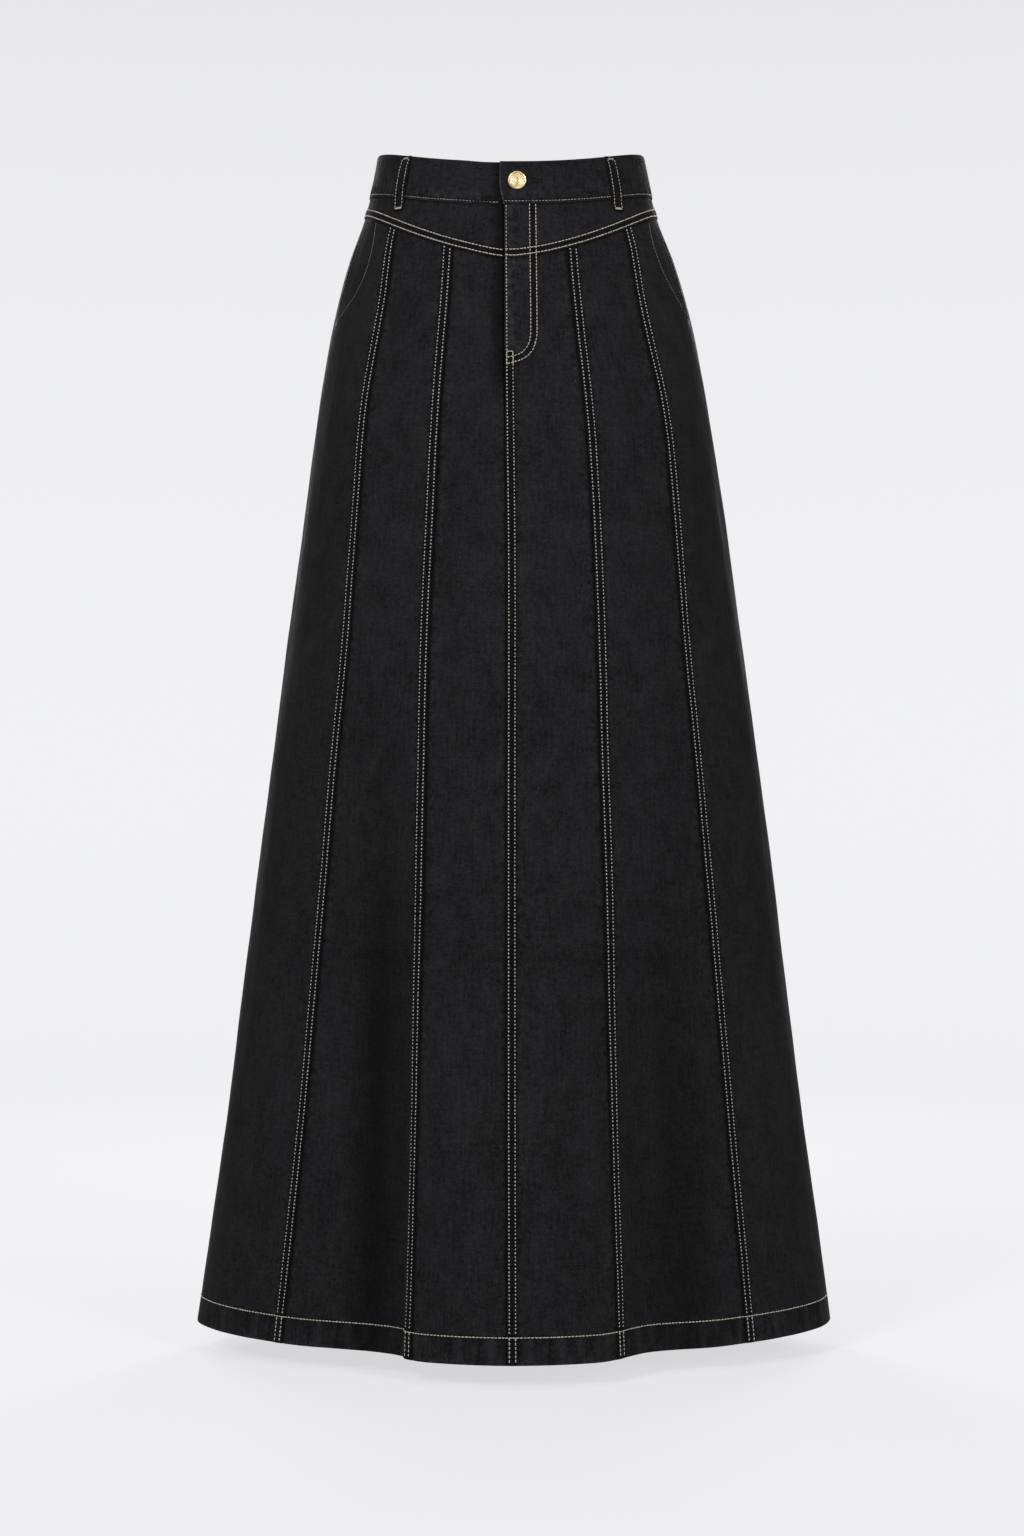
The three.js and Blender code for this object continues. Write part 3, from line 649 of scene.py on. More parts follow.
def yoke_rows():
    count = 13
    # Painted shade: low wear under and just below the waistband's edge
    rows = [
        (0, 2.4, -0.5, -0.5, 0, 0, 0.5),
        (0, 0.3, -0.45, -0.45, 0, 0, 0.45),
        (0, -0.8, -0.3, -0.3, 0.4, 0.4, 0.6),
        (0, -2, -0.05, -0.05, 0.9, 0.6, 0.9),
        (0, -4, 0, 0, 1, 0.6, 1),
    ]
    rows += [(k / count, -6 + 20 * k / count, 0, 0, 1, 0.25, 1) for k in range(count)]
    rows += [
        (1, 14, 0, 0, 1, 0.4, 1),
        (1, 10.4, 0.1, 0.1, 0.9, 0.6, 0.95),
        (1, 9.2, 0.4, 0.35, 0.7, 0.9, 0.62),
        (1, 8.2, 0.74, 0.6, 0.5, 1, 0.36),
        (1, 7.2, 0.76, 0.7, 0.4, 1, 0.28),
        (1, 6.4, 1.0, 0.7, 0.4, 1, 0.34),
        (1, 4.5, 1.08, 0.7, 0.4, 1, 0.4),
        (1, 2.6, 1.0, 0.7, 0.4, 1, 0.34),
        (1, 1.8, 0.8, 0.7, 0.4, 1, 0.3),
        (1, 1.1, 1.0, 0.7, 0.4, 0.8, 1.0),
        (1, 0.5, 0.9, 0.7, 0.4, 0.4, 1.1),
        (1, 0.15, 0.55, 0.7, 0.4, 0, 1),
        (1, 0, 0.05, 0.7, 0.4, 0, 0.75),
    ]
    return rows


def tuck_shape(angle, z):
    return -left_tuck(surface(angle, z)[..., 0], z) * (np.abs(turned(angle)) < 90)


def mouth_shape(angle, z):
    away = np.abs(np.abs(turned(angle)) - seam["side"](z))
    return MOUTH_ROLL * mouth_open(z) * smooth(1 - away / 6)


GORE_SPACING = 4.6
YOKE_SPACING = 2.4
GORE_TOP_Z = -70
GORE_SHORTER = 30


# A gore and its cut: its own width between its seams, and its height on the form
def gore(name, start, end, near_start, near_end, shape=None):
    piece = panel(
        name + "_cloth", seam[start], seam[end], near_start, near_end, GORE_SPACING,
        yoke_bottom, hem_height, gore_rows(), shape, name == "front_inner_right",
    )
    z = np.linspace(GORE_TOP_Z, HEM_Z, 50)
    width = (seam[end](z) - seam[start](z)) * degree_length(0.5 * (seam[start](z) + seam[end](z)), z)
    cut = ((float(width.max()) + 2) * MM, (-HEM_Z - GORE_SHORTER) * MM)
    finish_cloth(piece, name, cut, reverse="inside")


def yoke(name, start, end, near_start, near_end, shape=None):
    piece = panel(
        name + "_cloth", seam[start], seam[end], near_start, near_end, YOKE_SPACING,
        band_bottom, yoke_bottom, yoke_rows(), shape, name == "front_yoke_right",
    )
    angle = np.linspace(seam[start](YOKE_SIDE), seam[end](YOKE_SIDE), 80)
    height = band_bottom(angle) - yoke_bottom(angle)
    degree = degree_length(angle, yoke_bottom(angle))
    cut = ((float(np.trapz(degree, angle)) + 3) * MM, (float(height.max()) + 4) * MM)
    finish_cloth(piece, name, cut, reverse="inside")


# Gives a piece of cloth its materials and its place in the frame
def finish_cloth(piece, node, cut, material="denim", slot="denim", reverse=None):
    finish(piece, slot, material, reverse or material)
    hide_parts(node)


def finish(piece, slot, *names):
    for name in names:
        piece.data.materials.append(materials[name])
    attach(piece, "root")


# Nodes of a material or of the world: a helper that keeps their making short
class Shader:
    def __init__(self, owner, surface="Principled BSDF"):
        owner.use_nodes = True
        self.owner = owner
        self.nodes = owner.node_tree.nodes
        self.links = owner.node_tree.links
        self.surface = self.nodes[surface]

    # Sets a socket to a value, or links it to another socket
    def put(self, socket, source):
        if isinstance(source, bpy.types.NodeSocket):
            self.links.new(source, socket)
        else:
            socket.default_value = source

    def set(self, **inputs):
        for key, source in inputs.items():
            self.put(self.surface.inputs[key.replace("_", " ")], source)

    def node(self, kind, inputs, **settings):
        node = self.nodes.new("ShaderNode" + kind)
        for key, setting in settings.items():
            setattr(node, key, setting)
        for key, source in inputs.items():
            self.put(node.inputs[key], source)
        return node

    def math(self, operation, *sources):
        return self.node("Math", dict(enumerate(sources)), operation=operation).outputs[0]

    def attribute(self, name):
        return self.node("Attribute", {}, attribute_name=name).outputs["Fac"]

    def cloth_place(self):
        return self.node("UVMap", {}, uv_map="cloth").outputs[0]

    def object_place(self):
        return self.node("TexCoord", {}).outputs["Object"]

    def scaled(self, place, scale, turn=0.0):
        inputs = {"Vector": place, "Scale": scale, "Rotation": (0, 0, math.radians(turn))}
        return self.node("Mapping", inputs).outputs[0]

    def noise(self, place, scale, detail, roughness, distortion=0.0):
        inputs = {"Vector": self.scaled(place, scale), "Scale": 1, "Detail": detail}
        inputs.update(Roughness=roughness, Distortion=distortion)
        return self.node("TexNoise", inputs).outputs["Fac"]

    def wave(self, place, turn, scale, distortion):
        inputs = {"Vector": self.scaled(place, (1, 1, 1), turn), "Scale": scale}
        inputs.update(Distortion=distortion, Detail=1)
        return self.node("TexWave", inputs).outputs["Fac"]

    def ramp(self, factor, *stops):
        node = self.node("ValToRGB", {"Fac": factor})
        elements = node.color_ramp.elements
        while len(elements) < len(stops):
            elements.new(0.5)
        for element, (position, color) in zip(elements, stops):
            element.position = position
            element.color = (*color, 1)
        return node.outputs["Color"]

    def bump(self, height, distance, strength):
        inputs = {"Height": height, "Distance": distance, "Strength": strength}
        self.set(Normal=self.node("Bump", inputs).outputs[0])


# Noises of the denim: scale across and along the cloth, detail, roughness, distortion
DENIM_NOISES = {
    "slub": (380, 40, 3, 0.65),
    "weft": (55, 420, 2, 0.6),
    "mottle": (52, 40, 5, 0.62, 0.6),
    "cloud": (11, 8, 3, 0.55),
    "grain": (820, 700, 2, 0.7),
    "grit": (300, 270, 2, 0.6),
    "speck": (520, 330, 2, 0.75),
    "patchy": (34, 24, 3, 0.6),
    "pinched": (150, 190, 1.5, 0.5),
    "roped": (95, 20, 2.5, 0.6),
}
DENIM_TWILL = (62, 340, 0.4)

# How much each of them adds to the tone, and to the height of the cloth's grain
DENIM_TONE_START = -1.37
DENIM_TONES = {
    "slub": 0.55, "grit": 0.7, "weft": 0.28, "mottle": 0.7, "cloud": 0.28, "grain": 1.1, "twill": 0.1,
}
DENIM_HEIGHTS = {"slub": 0.5, "twill": 0.35, "grain": 0.4}
DENIM_BUMP = (0.00022, 0.8)


def denim_material(name, dark, light):
    m = Shader(bpy.data.materials.new(name))
    m.set(Roughness=0.95, Metallic=0.0, IOR=1.45)
    m.set(Specular_IOR_Level=0.05, Sheen_Weight=0.012, Sheen_Roughness=0.5)
    place = m.cloth_place()
    found = {
        key: m.noise(place, (across_cloth, along_cloth, 1), *rest)
        for key, (across_cloth, along_cloth, *rest) in DENIM_NOISES.items()
    }
    found["twill"] = m.wave(place, *DENIM_TWILL)

    # Pucker runs from 0 to 1 beside a seam, and above 1 along the hem, where it is roped
    pucker = m.attribute("pucker")
    at_hem = m.math("MAXIMUM", m.math("SUBTRACT", pucker, 1.0), 0.0)
    pucker = m.math("MINIMUM", pucker, 1.0)
    roping = m.math("SUBTRACT", found["roped"], found["pinched"])
    ripple = m.math("MULTIPLY_ADD", at_hem, roping, found["pinched"])

    tone = DENIM_TONE_START
    for key, amount in DENIM_TONES.items():
        tone = m.math("MULTIPLY_ADD", found[key], amount, tone)
    strength = m.math("MULTIPLY", pucker, m.math("MULTIPLY_ADD", at_hem, 0.9, 1.3))
    tone = m.math("ADD", tone, m.math("MULTIPLY", m.math("SUBTRACT", ripple, 0.5), strength))
    specks = m.math("MULTIPLY_ADD", found["patchy"], 0.22, found["speck"])
    limits = {"From Min": 0.71, "From Max": 0.87, "To Max": 0.62}
    limits["Value"] = m.math("MULTIPLY_ADD", pucker, 0.035, specks)
    fleck = m.node("MapRange", limits, interpolation_type="SMOOTHSTEP")
    tone = m.math("MULTIPLY", m.math("ADD", tone, fleck.outputs[0]), 0.5)
    middle = tuple(0.5 * (a + b) for a, b in zip(dark, light))
    palest = tuple(1.9 * level for level in light)
    colour = m.ramp(tone, (0.09, dark), (0.26, middle), (0.44, light), (0.8, palest))
    # The cloth's colour is scaled by its wear and painted shading
    worn_and_shaded = m.node("VectorMath", {0: colour, "Scale": m.attribute("wear_and_shading")}, operation="SCALE")
    m.set(Base_Color=worn_and_shaded.outputs[0])

    height = m.math("MULTIPLY", ripple, m.math("MULTIPLY", pucker, 4.0))
    for key, amount in DENIM_HEIGHTS.items():
        height = m.math("MULTIPLY_ADD", found[key], amount, height)
    m.bump(height, *DENIM_BUMP)
    return m.owner


def thread_material(name, dark, light, shine=0.3):
    m = Shader(bpy.data.materials.new(name))
    m.set(Roughness=0.62, Specular_IOR_Level=shine, Sheen_Weight=shine / 2, Sheen_Roughness=0.4)
    place = m.object_place()
    grain = m.noise(place, (2500, 2500, 2500), 2, 0.6)
    tone = m.math("MULTIPLY_ADD", grain, 0.5, m.attribute("wear_and_shading"))
    m.set(Base_Color=m.ramp(tone, (0.45, dark), (1.35, light)))
    m.bump(m.wave(place, 45, 900, 0.5), 0.0001, 0.6)
    return m.owner


BRASS_STOPS = (
    (0.1, (0.035, 0.023, 0.012)), (0.42, (0.27, 0.195, 0.105)), (0.72, (0.45, 0.35, 0.215)),
)


def brass_material():
    m = Shader(bpy.data.materials.new("antique_brass"))
    m.set(Metallic=1.0, Roughness=0.42)
    place = m.object_place()
    blotch = m.noise(place, (260, 260, 260), 4, 0.6)
    fine = m.noise(place, (2600, 2600, 2600), 2, 0.5)
    tone = m.math("MULTIPLY_ADD", blotch, 0.7, m.math("MULTIPLY", fine, 0.3))
    m.set(Base_Color=m.ramp(m.math("MULTIPLY", tone, m.attribute("wear_and_shading")), *BRASS_STOPS))
    m.bump(fine, 0.00005, 0.5)
    return m.owner


materials = {
    "denim": denim_material("black_denim", (0.0019, 0.0019, 0.0022), (0.0086, 0.0086, 0.0094)),
    "inside": denim_material("denim_back", (0.006, 0.006, 0.0065), (0.02, 0.0195, 0.0205)),
    "pocketing": denim_material("pocketing", (0.005, 0.005, 0.0055), (0.011, 0.011, 0.0115)),
    "tape": denim_material("zip_tape", (0.003, 0.003, 0.0033), (0.008, 0.008, 0.0085)),
    "thread": thread_material("thread_sand", (0.06, 0.047, 0.035), (0.215, 0.187, 0.156), 0.2),
    "thread_grey": thread_material("thread_grey", (0.045, 0.042, 0.039), (0.175, 0.167, 0.156), 0.2),
    "thread_black": thread_material(
        "thread_black", (0.001, 0.001, 0.0011), (0.004, 0.004, 0.0043), 0.02
    ),
    "thread_smoke": thread_material("thread_smoke", (0.009, 0.009, 0.01), (0.042, 0.041, 0.043)),
    "brass": brass_material(),
}

# Cloth of the gores and the yoke
GORES = [
    ("front_inner_left", "inner_left", "centre", LAPPED_UNDER, UNDER_FLY, tuck_shape),
    ("front_inner_right", "centre", "inner_right", FLY_EDGE, LAPPED_UNDER, None),
    ("front_middle_left", "outer_left", "inner_left", LAPPED_UNDER, LAPPED_OVER, None),
    ("front_middle_right", "inner_right", "outer_right", LAPPED_OVER, LAPPED_UNDER, None),
    ("front_side_left", "side_left", "outer_left", POCKET_EDGE, LAPPED_OVER, mouth_shape),
    ("front_side_right", "outer_right", "side_right", LAPPED_OVER, POCKET_EDGE, mouth_shape),
    ("back_side_right", "side_right", "back_outer_right", UNDER_SIDE, LAPPED_OVER, None),
    ("back_middle_right", "back_outer_right", "back_inner_right", LAPPED_UNDER, LAPPED_OVER, None),
    ("back_inner_right", "back_inner_right", "back_centre", LAPPED_UNDER, LAPPED_OVER, None),
    ("back_inner_left", "back_centre_from_left", "back_inner_left", LAPPED_UNDER, LAPPED_UNDER, None),
    ("back_middle_left", "back_inner_left", "back_outer_left", LAPPED_OVER, LAPPED_UNDER, None),
    ("back_side_left", "back_outer_left", "side_left", LAPPED_OVER, UNDER_SIDE, None),
]
for row in GORES:
    gore(*row)

YOKES = [
    ("front_yoke_left", "side_left", "centre", PLAIN, UNDER_FLY, tuck_shape),
    ("front_yoke_right", "centre", "side_right", FLY_EDGE, PLAIN, None),
    ("back_yoke_right", "side_right", "back_centre", UNDER_SIDE, PLAIN, None),
    ("back_yoke_left", "back_centre_from_left", "side_left", UNDER_SIDE, UNDER_SIDE, None),
]
for row in YOKES:
    yoke(*row)


# The waistband, one strip with a rolled top edge. The layer underneath goes in before it reaches
# the end on top, over a few degrees
BAND_STEP_FROM = 360 + BAND_LAP_ANGLE - 17
BAND_STEP_OVER = 13
BAND_COLUMNS = 600
BAND_FIRST_COLUMNS = [0, 0.0004, 0.0009, 0.0016, 0.0026]


def band_layer(angle):
    return -BAND_TUCK * smooth((angle - BAND_STEP_FROM) / BAND_STEP_OVER)


BAND_ROWS = [
    # down from the top edge, outer face, inner face, wear (painted shade in the lower line's groove),
    # ripple
    (0.0, -0.25, -1.0, 1.3, 0),
    (0.25, 0.3, -1.55, 1.5, 0),
    (0.8, 0.75, -1.95, 1.2, 0),
    (1.8, 0.88, -2.1, 0.9, 0.05),
    (3.5, 0.9, -2.1, 0.95, 0.1),
    (7, 0.9, -2.1, 1.0, 0.05),
    (12, 0.9, -2.1, 1.0, 0.0),
    (18, 0.92, -2.1, 1.0, 0.05),
    (23, 0.92, -2.1, 1.0, 0.25),
    (27, 0.9, -2.1, 1.02, 0.6),
    (30.5, 0.9, -2.1, 1.05, 1),
    (33.5, 0.9, -2.1, 1.05, 1),
    (35.6, 0.86, -2.1, 0.8, 0.8),
    (36.6, 0.6, -2.1, 0.4, 0.3),
    (37.4, 0.82, -2.1, 0.8, 0.4),
    (38.3, 0.75, -2.1, 1.4, 0.3),
    (38.8, 0.4, -1.8, 1.1, 0.2),
    (39.0, -0.2, -1.2, 0.5, 0),
]


def waistband():
    last = 360 + BAND_UNDER_ANGLE
    evenly = np.linspace(0.0044, 1, BAND_COLUMNS - len(BAND_FIRST_COLUMNS))
    share = np.concatenate([BAND_FIRST_COLUMNS, evenly])
    ends = np.minimum(share, 1 - share) * (last - BAND_LAP_ANGLE) * 2
    rounded = smooth(ends / 0.9)
    worn_end = mix(4.5, 1.0, smooth((ends - 0.5) / 0.7))
    outer, inner, uv, wear_and_shading, pucker = [], [], [], [], []
    for down, out, deep, worn_and_shaded, ripple in BAND_ROWS:
        lean = BAND_LAP_LEAN * smooth((2 * down - BAND_HEIGHT) / BAND_HEIGHT)
        angle = mix(BAND_LAP_ANGLE + lean, last, share)
        z = band_top(angle) - down
        s = angle * 2.0
        waves = np.sin(s * 1.14 + np.sin(s * 0.23) * 1.5) + 0.5 * np.sin(s * 0.61 + 1)
        sag = 0.35 * np.sin(s * 0.075 + 1) * np.sin(down / BAND_HEIGHT * np.pi)
        wrinkle = 0.2 * ripple * waves + sag
        layer = band_layer(angle)
        centre = 0.5 * (out + deep)
        outer.append(skin(angle, z, mix(centre + 0.3, out, rounded) + layer + wrinkle))
        inner.append(skin(angle, z, mix(centre - 0.3, deep, rounded) + layer))
        uv.append(np.stack([z + 900, s], -1))
        # Painted shadow on the layer underneath, beside the end that laps over it
        lap_shadow = smooth((angle - 350.5) / 5) * 0.62
        on_end = np.where(angle < 180, worn_end, 1.0)
        wear_and_shading.append(worn_and_shaded * (1 - lap_shadow) * on_end * (1 + 0.7 * wrinkle * ripple))
        pucker.append(np.full(BAND_COLUMNS, 0.25 + ripple * 0.75))
    piece = sheet("waistband_cloth", *(np.stack(v, 0) for v in (outer, inner, uv, wear_and_shading, pucker)))
    finish_cloth(piece, "waistband", (0.76, 0.041))


waistband()


# A patch of cloth inside the skirt. Its four edges are numbers or functions.
def patch(name, node, start, end, top, bottom, depth, thickness, counts, cut, material, slot):
    share = np.linspace(0, 1, counts[0])[:, None]
    part = np.linspace(0, 1, counts[1])[None, :]
    angle = mix(value(start, share), value(end, share), part)
    z = mix(value(top, angle), value(bottom, angle), share)
    angle, z = np.broadcast_arrays(angle, z)
    wave = 0.15 * np.sin(angle * 0.9 + z * 0.05)
    outer = skin(angle, z, -depth + 0 * z)
    inner = skin(angle, z, -depth - thickness + wave)
    uv = np.stack([angle * 2.6, z], -1)
    # Painted shade on the pocket bags, darker towards the pocket mouths
    bag_mouth_shade = smooth((np.abs(turned(angle)) - 68) / 4)
    piece = sheet(name, outer, inner, uv, 1 - 0.8 * bag_mouth_shade, 0 * z)
    finish_cloth(piece, node, cut, material, slot)


# Angles of a pocket bag's edges, and how far it narrows towards its bottom
POCKET_CENTRE_EDGE, POCKET_SIDE_EDGE = 51, 83
POCKET_NARROW = 7
POCKET_BOTTOM = -262


def pocket_bag(side, sign):
    narrow = lambda share: POCKET_NARROW * smooth(2 * share - 1)
    centre_edge = lambda share: sign * (POCKET_CENTRE_EDGE + narrow(share))
    side_edge = lambda share: sign * (POCKET_SIDE_EDGE - narrow(share))
    edges = (centre_edge, side_edge) if sign > 0 else (side_edge, centre_edge)
    patch(
        "pocket_bag_" + side + "_cloth", "pocket_bag_" + side, *edges,
        lambda angle: yoke_bottom(angle) - 4, POCKET_BOTTOM,
        POCKET_DEPTH, 1.0, (60, 26), (0.088, 0.22), "pocketing", "denim_inside",
    )


pocket_bag("left", -1)
pocket_bag("right", 1)
SHIELD_START = float(seam["centre"](YOKE_POINT)) - 1.2
SHIELD_END = 11
SHIELD_TOP = BAND_TOP_FRONT - BAND_HEIGHT - 3
SHIELD_BOTTOM = FLY_BOTTOM - 4
patch(
    "fly_shield_cloth", "fly_shield", SHIELD_START, SHIELD_END, SHIELD_TOP, SHIELD_BOTTOM,
    SHIELD_DEPTH, 1.1, (50, 14), (0.043, 0.156), "inside", "denim_inside",
)
ZIP_START, ZIP_END = 1.6, 7.2
ZIP_TOP, ZIP_BOTTOM = -45.5, -184
ZIP_DEPTH = 1.65
patch(
    "zip_cloth", "zip", ZIP_START, ZIP_END, ZIP_TOP, ZIP_BOTTOM,
    ZIP_DEPTH, 0.5, (50, 10), (0.018, 0.14), "tape", "zip_tape",
)


# Stitches: each is a grain of thread that lies along its path, with two rings and two tips
STITCH_SIDES = 5
STITCH_ALONG = (0.16, 0.84)
STITCH_RISE = 0.1
TIP_DROP = 0.25
STITCH_FLATNESS = 0.84

# How unevenly they're sewn: share of the pitch, share of the length, share of the width, tone
UNEVEN_PLACE, UNEVEN_LENGTH, UNEVEN_WIDTH, UNEVEN_TONE = 0.04, 0.05, 0.06, 0.11


# The triangles of one stitch: its first tip, the two rings and its last tip
def stitch_faces():
    n = STITCH_SIDES
    tip = 2 * n + 1
    faces = []
    for k in range(n):
        after = (k + 1) % n
        a, b, c, d = 1 + k, 1 + after, 1 + n + after, 1 + n + k
        faces += [(0, b, a), (a, b, c), (a, c, d), (d, c, tip)]
    return np.array(faces)


def stitches(name, paths, material, slot="denim"):
    starts, ends, ups, widths, tones = [], [], [], [], []
    for points, ups_at, pitch, length, width, tone in paths:
        steps = np.linalg.norm(np.diff(points, axis=0), axis=1)
        reach = np.concatenate([[0], np.cumsum(steps)])
        count = max(1, int(reach[-1] / pitch))
        middle = (np.arange(count) + 0.5) * reach[-1] / count
        middle += rng.normal(0, UNEVEN_PLACE * pitch, count)
        long = length * reach[-1] / count / pitch * (1 + rng.normal(0, UNEVEN_LENGTH, count))
        at = lambda s, table: np.stack([np.interp(s, reach, table[:, k]) for k in range(3)], -1)
        starts.append(at(middle - long / 2, points))
        ends.append(at(middle + long / 2, points))
        ups.append(at(middle, ups_at))
        widths.append(np.full(count, width) * (1 + rng.normal(0, UNEVEN_WIDTH, count)))
        tones.append(tone + rng.normal(0, UNEVEN_TONE, count))
    start, end, up, width, tone = (
        np.concatenate(found) for found in (starts, ends, ups, widths, tones)
    )
    direction = end - start
    direction /= np.linalg.norm(direction, axis=1, keepdims=True) + 1e-9
    side = np.cross(direction, up)
    side /= np.linalg.norm(side, axis=1, keepdims=True) + 1e-9
    up = np.cross(side, direction)
    across_half, up_half = width[:, None] / 2, width[:, None] / 2 * STITCH_FLATNESS
    points = [start + up * (STITCH_RISE - TIP_DROP)]
    for t in STITCH_ALONG:
        centre = start + (end - start) * t + up * STITCH_RISE
        for k in range(STITCH_SIDES):
            turn = 2 * math.pi * (k + 0.25) / STITCH_SIDES
            points.append(
                centre + side * math.cos(turn) * across_half + up * math.sin(turn) * up_half
            )
    points.append(end + up * (STITCH_RISE - TIP_DROP))
    base = np.arange(len(start))[:, None, None] * len(points)
    all_faces = (base + stitch_faces()[None]).reshape(-1, 3)
    all_points = np.stack(points, 1).reshape(-1, 3)
    piece = make_mesh(name, all_points, all_faces, None, np.repeat(tone, len(points)), sharp=0)
    finish(piece, slot, material)


def path(angle, z, lift, pitch, length, width, tone):
    angle, z = np.broadcast_arrays(np.asarray(angle, float), np.asarray(z, float))
    lift = np.broadcast_to(np.asarray(lift, float), z.shape)
    return skin(angle, z, lift), normal(angle, z), pitch, length, width, tone


FIRST_LINE = 1.8
SECOND_LINE = 7.2
HEM_LINE = 23.5

# Styles of stitching: pitch, length, width, tone
SEAM_STITCHES = {FIRST_LINE: (3.2, 1.8, 1.24, 0.98), SECOND_LINE: (3.2, 1.8, 1.1, 0.84)}
SEAM_STITCHES_AT_HEM = {FIRST_LINE: (3.2, 2.5, 1.24, 1.1), SECOND_LINE: (3.2, 2.5, 1.1, 0.96)}
YOKE_STITCH = (3.2, 3.12, 0.95, 0.84)
BAND_STITCH = (3.0, 2.4, 0.66, 0.52)
HEM_STITCH = (3.2, 3.02, 0.98, 0.84)
J_STITCHES = ((3.2, 2.7, 0.84, 0.82), (3.2, 2.7, 0.88, 0.86))
FLY_EDGE_STITCH = (3.2, 2.1, 0.8, 0.7)
FLY_BOX_STITCH = (1.6, 2.7, 0.7, 0.9)
ZIP_TOOTH = (2.8, 2.8, 1.3, 1.0)
POCKET_STITCH = (3.0, 2.85, 0.75, 0.9)
POCKET_BAR = (8, 7.4, 0.5, 0.45)
LOOP_STITCH = (3.0, 2.2, 0.74, 0.66)
BUTTONHOLE_STITCH = (2.2, 2.2, 0.46, 0.75)

# Felled seams, and the side of each that its band lies on: 1 towards larger angles
FRONT_BANDS = [
    ("inner_left", -1), ("outer_left", -1), ("centre", 1), ("inner_right", 1), ("outer_right", 1),
]
BACK_BANDS = [
    ("back_inner_left", 1), ("back_outer_left", 1), ("back_centre", -1),
    ("back_inner_right", -1), ("back_outer_right", -1),
]


# A pair of lines down a felled seam
def seam_lines(name, sign):
    found = []
    for distance in (FIRST_LINE, SECOND_LINE):
        z = np.linspace(-50, HEM_Z - 5, 420)
        angle = along(seam[name](z), z, sign * distance)
        inside = (z < yoke_bottom(angle) + 0.4) & (z > hem_height(angle) + 0.6)
        if name == "centre" and distance == SECOND_LINE:
            inside &= z < BOX_TOP
        z, angle = z[inside], angle[inside]
        above = z - hem_height(angle)
        hem_dip = -0.12 * np.exp(-((above - HEM_LINE) ** 2) / 2)
        low = above < HEM_LINE + 1
        upper, lower = SEAM_STITCHES[distance], SEAM_STITCHES_AT_HEM[distance]
        found.append(path(angle[~low], z[~low], 0.8 + hem_dip[~low], *upper))
        found.append(path(angle[low], z[low], 0.95 + hem_dip[low], *lower))
    return found


for side, bands in (("front", FRONT_BANDS), ("back", BACK_BANDS)):
    lines = [line for band in bands for line in seam_lines(*band)]
    stitches("topstitch_" + side + "_seams", lines, "thread_grey")


# Lines along the yoke's lower edge, the waistband's lower edge and the hem
def round_lines(edge, offset, start, end, lift, pitch, length, width, tone, shape=None):
    angle = np.arange(start, end, 0.25)
    z = edge(angle) + offset
    extra = shape(angle, z) if shape else 0
    return path(angle, z, lift + extra, pitch, length, width, tone)


def over_facing(angle, z):
    return 0.5 * fly_facing(angle, z)


def at_centre(offset):
    return float(seam["centre"](YOKE_POINT)) + offset


yoke_lines = []
for offset in (FIRST_LINE, SECOND_LINE):
    right = (at_centre(0.3), 180, 0.82, *YOKE_STITCH, over_facing)
    left = (-180, at_centre(-0.3), 0.82, *YOKE_STITCH, tuck_shape)
    yoke_lines += [round_lines(yoke_bottom, offset, *right), round_lines(yoke_bottom, offset, *left)]
stitches("topstitch_yoke", yoke_lines, "thread")

BAND_LINE = 2.4
band_line = round_lines(
    band_top, BAND_LINE - BAND_HEIGHT, BAND_LAP_ANGLE + BAND_LAP_LEAN + 0.6, 360 + BAND_LAP_ANGLE,
    0.66, *BAND_STITCH, lambda angle, z: band_layer(angle),
)
stitches("topstitch_waistband", [band_line], "thread_grey")


def profile_lift(distance, table):
    return np.interp(distance, [row[0] for row in table], [row[1] for row in table])


# How far the felled seams lift a line that crosses them
def over_bands(angle, z):
    degree = degree_length(angle, z)
    lift = np.zeros(np.shape(angle))
    for name, sign in FRONT_BANDS + BACK_BANDS:
        distance = sign * turned(angle - seam[name](z)) * degree
        lift = np.maximum(lift, profile_lift(distance, LAPPED_OVER) * (distance > -0.6))
    return lift


hem_line = round_lines(hem_height, HEM_LINE, -180, 180, -0.02, *HEM_STITCH, over_bands)
stitches("topstitch_hem", [hem_line], "thread")

# Height of the cloth on the right front, by how far above the yoke's lower edge it lies
YOKE_EDGE_LIFTS = [
    (0, 0.9), (1, 1), (2.6, 1), (6.4, 1), (8.2, 0.75), (9.2, 0.4), (10.4, 0.1), (14, 0),
]
UNDER_YOKE_SHARES = [(0, 0.4), (1.7, 0.85), (3.2, 1)]


def right_front_lift(angle, z):
    distance = (angle - seam["centre"](z)) * degree_length(angle, z)
    lift = profile_lift(np.maximum(distance, 0.5), LAPPED_OVER)
    above = z - yoke_bottom(angle)
    on_yoke = profile_lift(above, YOKE_EDGE_LIFTS)
    facing = FACING_RISE * fly_facing(angle, z)
    on_yoke = np.maximum(on_yoke, facing + 0.4 * on_yoke)
    under_yoke = profile_lift(-above, UNDER_YOKE_SHARES) * np.maximum(lift, facing)
    return np.where(above > 0, on_yoke, under_yoke)


def fly_line(xs, zs, style):
    angle = angle_of_x(xs, zs)
    return path(angle, zs, right_front_lift(angle, zs), *style)


